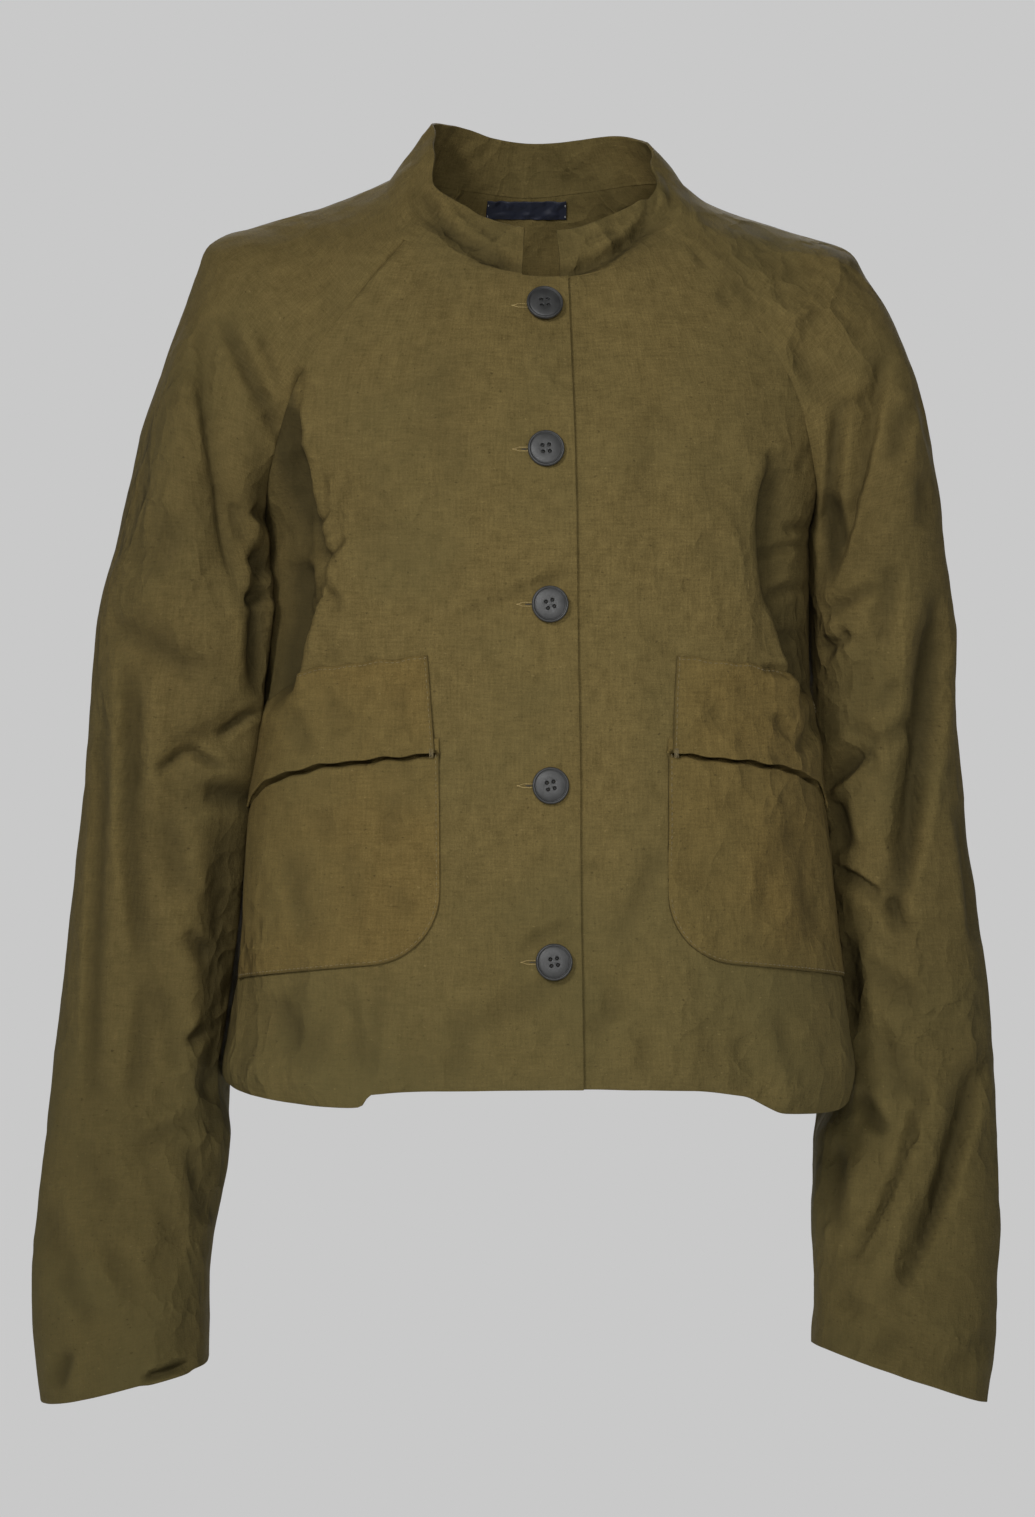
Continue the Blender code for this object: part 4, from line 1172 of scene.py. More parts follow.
@dataclass
class PatchPocket:
    """A patch pocket on a front, and the flap over its mouth."""

    body: Body
    side: Side
    finishes: Finishes
    drops: tuple[MouthPoint, ...] = rows_of(MouthPoint,
        (0, 0), (0.33, 4), (0.5, 6.5), (0.67, 11), (0.83, 17.5), (0.93, 24), (1, 31),
    )
    mouth: float = -299
    tuck: float = 8
    bottom: float = -412
    bottom_drop: float = 14
    corner: float = 36
    inner: float = 63
    width: float = 128
    outer_angle: float = 83
    flap_top: float = -245
    flap_inner_top: float = 69
    flap_inner_mouth: float = 65
    stand_off: float = 2.4
    laid_gap: float = 0.45
    cloth: float = 1.2
    dip_depth: float = 6.5
    dip_level: float = 0.2
    dip_start: Pair = (-0.01, 0.05)
    dip_end: Pair = (0.9, 1.0)
    dip_end_fall: float = 0.5
    patch_dip: float = 1.5
    front_dip: float = 4.5
    edge_shade: float = 0.75
    edge_width: float = 0.9
    flap_top_ease: float = 0.8
    wave_heights: Pair = (0.45, 0.35)
    wave_rates: Pair = (43, 26)
    wave_start: float = 0.1
    inner_lift: float = 0.55
    inner_lift_share: float = 0.2
    outer_fall: float = 0.35
    outer_fall_share: float = 0.8
    columns: int = 61
    column_crowding: float = 1.6
    lower_rows: int = 44
    lower_crowding: float = 1.4
    upper_rows: int = 34
    upper_height: float = 7
    hidden_rows: int = 18
    flap_rows: int = 30
    flap_crowding: float = 1.3
    patch_shift: float = 0.31
    flap_shift: float = 0.57
    stitch: Stitch = Stitch()
    stitch_inset: float = 1.7
    stitch_lift: float = 0.05
    tack: Stitch = Stitch(length=6.4, gap=9.0, radius=0.34)
    tack_places: tuple[float, ...] = (1.0, 1.8, 2.6)
    tack_half: float = 4
    tack_lift: float = 1.6
    tack_points: int = 9

    def __post_init__(self) -> None:
        """Draws the line of the mouth."""
        (self.plain_drop,) = curves_of(self.drops)

    def drop(self, share: Array) -> Array:
        """How far the mouth has dropped at a share of its width, in slight waves."""
        starts = (1, 2 * self.side.value)
        shapes = zip(self.wave_heights, self.wave_rates, starts)
        waves = sum(height * np.sin(rate * share + start) for height, rate, start in shapes)
        return self.plain_drop(share) + waves * smooth_step(0, self.wave_start, share)

    def mouth_dip(self, angle: Array, height: Array, width: float) -> Array:
        """How far the cloth sinks in under the edge of the flap.

        Args:
            angle: Angles round the body.
            height: Heights.
            width: Half width of the dip.

        Returns:
            One depth for each point.
        """
        inner_angle = self.body.angle_at(self.inner, height)
        share = (self.side.value * angle - inner_angle) / (self.outer_angle - inner_angle)
        below = self.mouth - self.drop(np.clip(share, 0, 1)) - height
        fall = self.dip_end_fall * smooth_step(*self.dip_end, share)
        ends = smooth_step(*self.dip_start, share) * (1 - fall)
        return self.dip_depth * ends * np.exp(-(((below - self.dip_level) / width) ** 2))

    def patch_points(self) -> tuple[Array, Array, Array]:
        """Angles, heights and outer surface of the patch.

        Returns:
            Three grids, from the bottom edge up to the tucked top edge.
        """
        share = np.linspace(0, 1, self.columns)[None, :] ** self.column_crowding
        from_corner = np.clip(self.corner - share * self.width, 0, self.corner)
        rounded = self.corner - np.sqrt(self.corner**2 - from_corner**2)
        low = self.bottom - self.bottom_drop * share + rounded
        line = self.mouth - self.drop(share)
        near = line - self.upper_height
        rise = np.linspace(0, 1, self.lower_rows, endpoint=False)[:, None] ** self.lower_crowding
        upper = near + np.linspace(0, self.upper_height + self.tuck, self.upper_rows)[:, None]
        heights = np.concatenate([low + rise * (near - low), upper])
        inner_angle = self.body.angle_at(self.inner, heights)
        angles = self.side.value * (inner_angle + share * (self.outer_angle - inner_angle))
        offset = self.laid_gap + self.cloth - self.mouth_dip(angles, heights, self.patch_dip)
        return angles, heights, self.laid(angles, heights, offset)

    def flap_points(self) -> tuple[Array, Array, Array]:
        """Angles, heights and outer surface of the flap.

        Returns:
            Three grids, from the mouth up to the top edge.
        """
        share = np.linspace(0, 1, self.columns)[None, :] ** self.flap_crowding
        rise = np.linspace(0, 1, self.flap_rows)[:, None]
        line = self.mouth - self.drop(share)
        heights = line + rise * (self.flap_top - self.mouth)
        inner_x = self.flap_inner_mouth + rise * (self.flap_inner_top - self.flap_inner_mouth)
        inner_angle = self.body.angle_at(inner_x, heights)
        angles = self.side.value * (inner_angle + share * (self.outer_angle - inner_angle))
        lift = self.inner_lift + (1 - self.inner_lift) * smooth_step(0, self.inner_lift_share, share)
        lift = lift - self.outer_fall * smooth_step(self.outer_fall_share, 1, share)
        offset = self.laid_gap + self.cloth + self.stand_off * lift * (1 - rise) ** 2
        return angles, heights, self.laid(angles, heights, offset)

    def edge_shadow(self, sides: Array, ends: Array) -> Array:
        """Painted shadow along the edges: how dark the cloth is, by its distances from the inner edge and
        from the sewn end.
        """
        nearest = np.minimum(sides, ends)
        return self.edge_shade * np.exp(-((nearest / self.edge_width) ** 2))

    def laid(self, angles: Array, heights: Array, offset: Array) -> Array:
        """Points of the front as it hangs, moved out by an offset."""
        normals = self.body.sewn_normal(angles, heights)
        return self.body.surface(angles, heights) + offset[..., None] * normals

    def build(self) -> None:
        """Makes the patch, the flap and their stitching."""
        body = self.body
        name = self.side.name.lower()
        patch_angles, patch_heights, patch = self.patch_points()
        flap_angles, flap_heights, flap = self.flap_points()
        patch_normals = body.sewn_normal(patch_angles, patch_heights)
        flap_normals = body.sewn_normal(flap_angles, flap_heights)
        visible = slice(None, -self.hidden_rows)
        under_mouth = np.zeros((len(patch), 1))
        under_mouth[visible] = 1
        # Both pieces take painted shade from the creases and a painted shadow line along their sewn edges
        patch_piece = cloth_object(
            f"linen_pocket_{name}",
            patch,
            body.cloth_place(patch_angles, patch_heights) + self.patch_shift,
            patch_normals, self.finishes.pocket_linen, self.cloth,
            fold=body.fold(patch_angles, patch_heights)
            + self.edge_shadow(lengths_from_start(patch, 1), lengths_from_start(patch, 0)) * under_mouth,
        )
        fit(patch_piece, "linen", f"pocket_{name}")
        flap_piece = cloth_object(
            f"linen_pocket_flap_{name}",
            flap,
            body.cloth_place(flap_angles, flap_heights) + self.flap_shift,
            flap_normals, self.finishes.pocket_linen, self.cloth,
            fold=body.fold(flap_angles, flap_heights)
            + self.edge_shadow(lengths_from_start(flap, 1), self.flap_top_ease + lengths_from_end(flap, 0)),
        )
        fit(flap_piece, "linen", f"pocket_flap_{name}")
        patch_edge = np.concatenate([patch[visible, 0][::-1], patch[0, 1:]])
        patch_edge_normals = np.concatenate([patch_normals[visible, 0][::-1], patch_normals[0, 1:]])
        flap_edge = np.concatenate([flap[:, 0], flap[-1, 1:]])
        flap_edge_normals = np.concatenate([flap_normals[:, 0], flap_normals[-1, 1:]])
        beads = self.stitch.beads(self.inset(patch_edge, patch_edge_normals, -1), patch_edge_normals)
        beads += self.stitch.beads(self.inset(flap_edge, flap_edge_normals, 1), flap_edge_normals)
        beads += self.bar_tack()
        fit(bead_object(f"pocket_stitching_{name}", beads, self.finishes.seam_thread), "linen")

    def bar_tack(self) -> list[Matrix]:
        """A few close threads over the inner end of the mouth."""
        heights = np.linspace(self.mouth - self.tack_half, self.mouth + self.tack_half, self.tack_points)
        lift = np.full_like(heights, self.laid_gap + self.cloth + self.tack_lift)
        beads = []
        for aside in self.tack_places:
            angles = self.side.value * self.body.angle_at(self.flap_inner_mouth + aside, heights)
            line = self.laid(angles, heights, lift)
            beads += self.tack.beads(line, self.body.sewn_normal(angles, heights))
        return beads

    def inset(self, edge: Array, normals: Array, sign: int) -> Array:
        """A line a little inside an edge, by the sign of the way in which the edge is drawn."""
        inward = unit(np.cross(normals, np.gradient(edge, axis=0))) * sign * -self.side.value
        return edge + self.stitch_inset * inward + self.stitch_lift * normals


@dataclass
class Panels:
    """The two fronts and the back."""

    body: Body
    finishes: Finishes
    pockets: tuple[PatchPocket, ...]
    cloth: float = 1.5
    columns: int = 100
    back_columns: int = 150
    side_rows: int = 124
    seam_rows: int = 76
    right_laps: Pair = (16, 12)
    left_laps: Pair = (14, 14)
    allowance: float = 1.8
    tab_dip: float = 0.6
    sewn_range: Pair = (-25, 5)

    def side_edge(self, side: Side, seam: tuple[Array, Array, Array]) -> Array:
        """Angles and heights from the hem up the side seam and a raglan seam."""
        hem = self.body.hem_height(side.value * 90)
        low = np.linspace(hem, self.body.underarm, self.side_rows + 1)[:-1]
        angles, heights = on_seam(seam, side, np.linspace(1, 0, self.seam_rows + 1))
        along = np.concatenate([np.full_like(low, side.value * 90), angles])
        return np.stack([along, np.concatenate([low, heights])], axis=-1)

    def lap_edge(self, side: Side, rows: Array, laps: Pair) -> Array:
        """Angles and heights up the front edge, which laps past the centre front.

        Args:
            side: Side of the wearer.
            rows: Angles and heights of the other edge.
            laps: How far it laps at the hem and at the neckline.

        Returns:
            Angles and heights.
        """
        share = self.body.line_shares(rows[:, 0], rows[:, 1])
        heights = self.body.hem_height(0) + share * (self.body.neck_height(0) - self.body.hem_height(0))
        lap = laps[0] + share * (laps[1] - laps[0])
        depth = self.body.middle(heights) - self.body.front_y(heights)
        return np.stack([-side.value * np.degrees(np.arctan2(lap, depth)), heights], axis=-1)

    def filled(self, left: Array, right: Array, columns: int) -> tuple[Array, Array]:
        """Angles and heights inside two edges, the hem and the neckline.

        Args:
            left: Angles and heights of the first edge, from the hem up.
            right: The same for the last edge.
            columns: How many columns.

        Returns:
            A grid of angles and a grid of heights.
        """
        u = np.linspace(0, 1, columns + 1)[None, :, None]
        v = self.body.line_shares(right[:, 0], right[:, 1])[:, None, None]
        hem = left[0, 0] + u[0, :, 0] * (right[0, 0] - left[0, 0])
        neck = left[-1, 0] + u[0, :, 0] * (right[-1, 0] - left[-1, 0])
        bottom = np.stack([hem, self.body.hem_height(hem)], axis=-1)
        top = np.stack([neck, self.body.neck_height(neck)], axis=-1)
        corners = (1 - u) * ((1 - v) * bottom[0] + v * top[0]) + u * ((1 - v) * bottom[-1] + v * top[-1])
        grid = (1 - v) * bottom + v * top + (1 - u) * left[:, None] + u * right[:, None] - corners
        return grid[..., 0], grid[..., 1]

    def tabbed(
        self, points: Array, place: Array, normals: Array, fold: Array
    ) -> tuple[Array, Array, Array, Array]:
        """A grid of cloth with a seam allowance past its last column, which dips under the next piece.

        Args:
            points: Points of the cloth.
            place: Their places on the flat cloth.
            normals: Its normals.
            fold: How deep in a fold they lie.

        Returns:
            The same four grids, one column wider.
        """
        onward = unit(points[:, -1] - points[:, -2])
        tab = points[:, -1] + self.allowance * onward - self.tab_dip * normals[:, -1]
        wider = np.concatenate([points, tab[:, None]], axis=1)
        wider_place = np.concatenate([place, 2 * place[:, -1:] - place[:, -2:-1]], axis=1)
        wider_normals = np.concatenate([normals, normals[:, -1:]], axis=1)
        return wider, wider_place, wider_normals, np.concatenate([fold, fold[:, -1:]], axis=1)

    def panel(
        self, name: str, angles: Array, heights: Array, recess: Array, sewn_first: bool
    ) -> Piece:
        """One panel of cloth, smooth along its raglan seams and the neckline.

        Args:
            name: Node that it stands for.
            angles: Grid of angles.
            heights: Grid of heights.
            recess: How far the cloth lies in.
            sewn_first: Whether the first column is a seam too.

        Returns:
            The piece.
        """
        body = self.body
        plain = body.plain(angles, heights)
        from_seam = lengths_from_end(plain, 1)
        if sewn_first:
            from_seam = np.minimum(from_seam, lengths_from_start(plain, 1))
        above = smooth_step(*self.sewn_range, heights - body.underarm)
        weight = 1 - above * (1 - smooth_step(0, body.seam_ease, from_seam))
        weight = weight * smooth_step(0, body.neck_ease, lengths_from_end(plain, 0))
        normals = body.sewn_normal(angles, heights)
        inwards = (recess + body.groove(from_seam, plain))[..., None] * normals
        points = body.pressed(body.surface(angles, heights, weight) - inwards)
        place = body.cloth_place(angles, heights)
        # Painted shade in the creases, which the linen reads from fold
        fold = body.fold(angles, heights)
        points, place, normals, fold = self.tabbed(points, place, normals, fold)
        if sewn_first:
            backward = (np.flip(grid, 1) for grid in (points, place, normals, fold))
            points, place, normals, fold = self.tabbed(*backward)
        piece = cloth_object(
            f"linen_{name}", points, place, normals, self.finishes.linen, self.cloth, fold=fold
        )
        fit(piece, "linen", name)
        return piece

    def build(self) -> None:
        """Makes the fronts and the back."""
        body = self.body
        for side, laps, pocket in zip(Side, (self.right_laps, self.left_laps), self.pockets):
            edge = self.side_edge(side, body.front_seam)
            angles, heights = self.filled(self.lap_edge(side, edge, laps), edge, self.columns)
            recess = pocket.mouth_dip(angles, heights, pocket.front_dip)
            if side is Side.LEFT:
                recess = recess + body.lap_recess(body.plain(angles, heights))
            front = self.panel(f"front_{side.name.lower()}", angles, heights, recess, False)
        left = self.side_edge(Side.LEFT, body.back_seam)
        right = self.side_edge(Side.RIGHT, body.back_seam) + (360, 0)
        angles, heights = self.filled(left, right, self.back_columns)
        back = self.panel("back", angles, heights, np.zeros_like(angles), True)


@dataclass
class Sleeve:
    """A raglan sleeve: a cap from the neckline and the raglan seams down to the underarm, then the arm.

    A turn is 0 at the underarm seam, 90 at the front, 180 outside and 360 at the underarm again. A run is 0
    at the neckline, 1 at the underarm and 2 at the cuff.
    """

    body: Body
    finishes: Finishes
    side: Side
    rings: tuple[Ring, ...]
    shoulder: tuple[ShoulderPoint, ...]
    front_folds: Creases
    back_folds: Creases
    front_creases: Creases
    back_creases: Creases
    crumples: tuple[Crumple, ...]
    area: float
    cap_front: tuple[CapCurve, ...] = rows_of(CapCurve,
        (0, 20, 20, 0), (0.2, 35, 34, 0), (0.4, 50, 52, 0.1), (0.6, 50, 72, 0.35), (0.75, 52, 82, 0.62),
        (0.9, 68, 89, 0.9), (1, 91, 91, 1),
    )
    cap_back: tuple[CapCurve, ...] = rows_of(CapCurve,
        (0, 20, 20, 0), (0.2, 35, 40, 0), (0.4, 45, 70, 0.15), (0.6, 50, 90, 0.5), (0.75, 60, 95, 0.75),
        (0.9, 74, 95, 0.92), (1, 91, 91, 1),
    )
    squareness: float = 2.4
    neck_share: float = 0.35
    arm_share: float = 0.6
    drawn_run: float = 1.12
    underarm_clearance: float = 0.6
    arm_clearance: float = 1.4
    seam_turn: float = 30
    neck_run: float = 0.15
    cap_end: float = 1.05
    # Painted shade over the sleeve, growing from a quarter of the way down the cap to full below the
    # underarm
    arm_shade: float = 0.24
    arm_shade_start: float = 0.25
    cut_width: float = 0.34
    free_start: float = -488
    free_end: float = -518
    cloth: float = 1.5
    columns: int = 136
    cap_rows: int = 78
    arm_rows: int = 192

    def __post_init__(self) -> None:
        """Draws smooth curves through the tables."""
        self.ring_curves = curves_of(self.rings)
        self.shoulder_curves = curves_of(self.shoulder)
        self.front_curves = curves_of(self.cap_front)
        self.back_curves = curves_of(self.cap_back)

    def arm(self, turn: Array, run: Array) -> Array:
        """Points below the underarm, from run 1 there to run 2 at the cuff."""
        top = self.body.underarm
        height = top + (run - 1) * (self.rings[-1].height - top)
        inner, outer, slant, half_depth, middle = (curve(height) for curve in self.ring_curves)
        power = 2 / self.squareness
        both = np.cos(np.radians(turn)), np.sin(np.radians(turn))
        inward, forward = (np.sign(value) * np.abs(value) ** power for value in both)
        out = (inner + outer) / 2 - inward * (outer - inner) / 2
        across = self.side.value * out
        level = np.broadcast_arrays(across, middle - half_depth * forward, height + slant * inward)
        first = self.rings[0]
        drawn = np.cos(np.radians(turn) / 2) ** 4 * (1 - smooth_step(1, self.drawn_run, run))
        start = (self.side.value * first.inner, first.middle, top)
        pull = self.body.sewn(self.side.value * 90, top) - start
        return np.stack(level, axis=-1) + drawn[..., None] * pull

    def crossing(self, t: Array, share: Array, back: bool) -> Array:
        """Curves over one half of the cap, from a raglan seam (t is 0) up to the shoulder line (t is 1).

        Args:
            t: Places along the curves.
            share: How far down the seam each curve starts.
            back: Whether it is the back half.

        Returns:
            Points of the curves.
        """
        seam = self.body.back_seam if back else self.body.front_seam
        aside = np.array([0.0, 1.0 if back else -1.0, 0.0])
        angle, height = on_seam(seam, self.side, share)
        normals = self.body.sewn_normal(angle, height)
        start = self.body.sewn(angle, height)
        out, crest, crest_y = (curve(share) for curve in self.shoulder_curves)
        end = np.stack([self.side.value * out, crest_y, crest], axis=-1)
        curves = self.back_curves if back else self.front_curves
        start_handle, end_handle, turned = (curve(share)[..., None] for curve in curves)
        chord = unit(end - start)
        level = chord - np.sum(chord * normals, axis=-1, keepdims=True) * normals
        leaving = unit((1 - turned) * level + turned * (aside + (1 - turned) * normals))
        second = start + start_handle * leaving
        third = end + end_handle * aside
        t = t[..., None]
        rest = 1 - t
        return rest**3 * start + 3 * t * rest**2 * second + 3 * t * t * rest * third + t**3 * end

    def half_cap(self, turns: Array, shares: Array, back: bool) -> Array:
        """Points on the front or the back half of the cap, met to the neckline and to the arm."""
        t = (2 - turns / 180 if back else turns / 180)[None, :]
        share = shares[:, None]
        corner = (self.body.raglan_back if back else self.body.raglan_front)[-1].angle
        neck_angle = corner + t * (self.body.shoulder_angle - corner)
        at_neck = self.body.sewn(self.side.value * neck_angle, self.body.neck_height(neck_angle))
        at_neck = at_neck - self.crossing(t, np.zeros((1, 1)), back)
        at_arm = self.arm(turns[None, :], np.ones((1, 1))) - self.crossing(t, np.ones((1, 1)), back)
        near_neck = 1 - smooth_step(0, self.neck_share, share)[..., None]
        near_arm = smooth_step(self.arm_share, 1, share)[..., None]
        return self.crossing(t, share, back) + near_neck * at_neck + near_arm * at_arm

    def plain(self, turns: Array, runs: Array) -> Array:
        """Points of the sleeve before it is folded, as rows by run and columns by turn."""
        cap_runs = runs[runs < 1]
        front = self.half_cap(turns[turns < 180], cap_runs, False)
        back = self.half_cap(turns[turns >= 180], cap_runs, True)
        arm = self.arm(turns[None, :], runs[runs >= 1][:, None])
        return np.concatenate([np.concatenate([front, back], axis=1), arm])

    def clear_of_body(self, points: Array, run: Array) -> Array:
        """Points moved out where they would come too near the body of the jacket."""
        level = np.maximum(points[..., 2], self.body.sections[-2].height)
        x = points[..., 0]
        forward = self.body.middle(level) - points[..., 1]
        distance = np.hypot(x, forward)
        widened = smooth_step(1, self.drawn_run, run) * (self.arm_clearance - self.underarm_clearance)
        gap = self.underarm_clearance + widened
        spare = distance - self.body.reach(np.degrees(np.arctan2(x, forward)), level) - gap
        moved_out = 0.5 * (np.hypot(spare, gap) - spare)
        free = smooth_step(self.free_end, self.free_start, points[..., 2])
        factor = 1 + smooth_step(self.arm_share, 1, run) * free * moved_out / distance
        return np.stack([x * factor, self.body.middle(level) - forward * factor, points[..., 2]], axis=-1)

    def build(self) -> None:
        """Makes the sleeve."""
        body = self.body
        turns = np.linspace(0, 360, self.columns + 1)
        runs = np.concatenate(
            [np.linspace(0, 1, self.cap_rows, endpoint=False), np.linspace(1, 2, self.arm_rows)]
        )
        turn, run = np.meshgrid(turns, runs)
        plain = self.plain(turns, runs)
        normals = -self.side.value * grid_normals(plain)
        from_seam = np.minimum(turn, 360 - turn)
        off_seams = smooth_step(0, self.seam_turn, from_seam) * smooth_step(0, self.neck_run, run)
        fold_weight = np.maximum(off_seams, smooth_step(1, self.drawn_run, run))
        moved = fold_weight * creases_on(plain, normals, self.front_folds, self.back_folds)
        fine = creases_on(VIEW.seen(plain), normals, self.front_creases, self.back_creases)
        # Painted shade: all of the arm a little darker, and darker still in its creases
        tone = self.arm_shade * smooth_step(self.arm_shade_start, 1.0, run)
        fold = tone - (fine + body.pressed_depth(plain)) / body.full_fold
        for crumple in self.crumples:
            fine = fine + crumple.at(plain)
        near = np.minimum(lengths_from_start(plain, 1), lengths_from_end(plain, 1))
        cap = 1 - smooth_step(1, self.cap_end, run)
        fine_weight = 1 - cap * (1 - smooth_step(0, body.seam_ease, near))
        fine_weight = fine_weight * smooth_step(0, body.neck_ease, lengths_from_start(plain, 0))
        groove = cap * body.groove(near, plain)
        points = body.pressed(plain + normals * (moved + fine_weight * fine - groove)[..., None])
        points = self.clear_of_body(points, run)
        points[self.cap_rows :, -1] = points[self.cap_rows :, 0]
        length = np.mean(lengths_from_start(plain, 0), axis=1)[:, None]
        place = np.stack(np.broadcast_arrays(turn / 360 * self.cut_width, -length * MM), axis=-1)
        name = f"sleeve_{self.side.name.lower()}"
        piece = cloth_object(
            f"linen_{name}", points, place, normals, self.finishes.creased_linen, self.cloth,
            closed_from=self.cap_rows, fold=fold,
        )
        fit(piece, "linen", name)


@dataclass
class Collar:
    """The stand collar, open at the centre front."""

    body: Body
    finishes: Finishes
    steps: tuple[CollarStep, ...] = rows_of(CollarStep,
        (7, 28, 15), (52, 26, 23), (90, 23.5, 18), (140, 28, 13), (180, 29.5, 9), (205, 30, 11),
        (225, 32, 14), (270, 31.5, 24), (308, 27, 29), (352, 27, 16),
    )
    left_end: float = 8.5
    right_end: float = 14
    axis_y: float = 10
    gap: float = 0.1
    tuck: float = 1.6
    tuck_in: float = 0.5
    cloth: float = 1.6
    columns: int = 210
    rows: int = 24
    crumples: tuple[Crumple, ...] = rows_of(Crumple, (31, 46, 0.8), (32, 21, 0.4, 0.6))
    bend_depth: float = 4.5
    bend_width: float = 0.15
    bend_low: float = 0.1
    bend_rise: float = 0.5
    bend_rising: Pair = (8, 60)
    bend_fading: Pair = (42, 72)
    bend_start: float = 0.08
    crease_start: float = 0.12
    crumple_start: float = 0.5
    cut_height: float = 0.028
    # Painted shade: a small share of darkening over the whole collar
    tone: float = 0.02
    creases: Creases = rows_of(Crease,
        (-64, 24, -53, 6, 4, 3.4), (-54, 7, -40, -4, 3.6, 3.4), (-41, -3, -26, -10, 3.2, 3),
        (-27, -10, -17, -23, 3.6, 4, 2), (-32, 4, -23, -7, 3, 1.4), (-47, 14, -38, 6, 3, 1.4),
        (65, 26, 64, 6, 4, 3.2), (64, 7, 54, -4, 3.6, 3), (55, -3, 40, -14, 3.4, 3),
        (41, -13, 18, -23, 3.2, 2.4), (58, 14, 48, 5, 3, 1.4), (36, 0, 28, -8, 3, 1.2),
    )

    def bend(self, angle: Array, share: Array) -> Array:
        """How far the collar sinks in where it bends up, low at the front and higher at the sides."""
        from_front = np.minimum(np.mod(angle, 360), 360 - np.mod(angle, 360))
        height = self.bend_low + self.bend_rise * smooth_step(*self.bend_rising, from_front)
        depth = self.bend_depth * (1 - smooth_step(*self.bend_fading, from_front))
        shape = np.exp(-(((share - height) / self.bend_width) ** 2))
        return depth * shape * smooth_step(0, self.bend_start, share)

    def build(self) -> None:
        """Makes the collar."""
        body = self.body
        rise_curve, lean_curve = curves_of(self.steps)
        neck = body.neck_height(0)
        first = body.angle_at(self.left_end, neck)
        last = 360 - body.angle_at(self.right_end, neck)
        shares = np.concatenate([[0.0], np.linspace(0, 1, self.rows)])
        angle, share = np.meshgrid(np.linspace(first, last, self.columns + 1), shares)
        height = body.neck_height(angle)
        base = body.plain(angle, height)
        recess = (np.mod(angle, 360) < 90) * body.lap_recess(base)
        base = base - recess[..., None] * body.sewn_normal(angle, height)
        inward = unit(np.array([0, self.axis_y]) - base[..., :2])
        up = unit(body.plain(angle, height + 1) - body.plain(angle, height - 1))
        points = base + self.gap * up
        points[0] -= self.tuck * up[0]
        points[0, :, :2] += self.tuck_in * inward[0]
        points[..., :2] += (lean_curve(angle) * share)[..., None] * inward
        points[..., 2] += rise_curve(angle) * share
        normals = grid_normals(points)
        sunk = creases_on(VIEW.seen(points), normals, self.creases, ())
        sunk = sunk * smooth_step(0, self.crease_start, share) - self.bend(angle, share)
        fine = sum(crumple.at(points) for crumple in self.crumples)
        fine = fine * smooth_step(0, self.crumple_start, share)
        points = points + normals * (fine + sunk)[..., None]
        arcs = lengths_from_start(base, 1)
        place = np.stack([arcs * MM, share * self.cut_height], axis=-1)
        # Painted shade on the collar: a little everywhere, more in its creases and where it bends up
        fold = self.tone - sunk / body.full_fold
        piece = cloth_object(
            "linen_collar", points, place, normals, self.finishes.creased_linen, self.cloth, fold=fold
        )
        fit(piece, "linen", "collar")


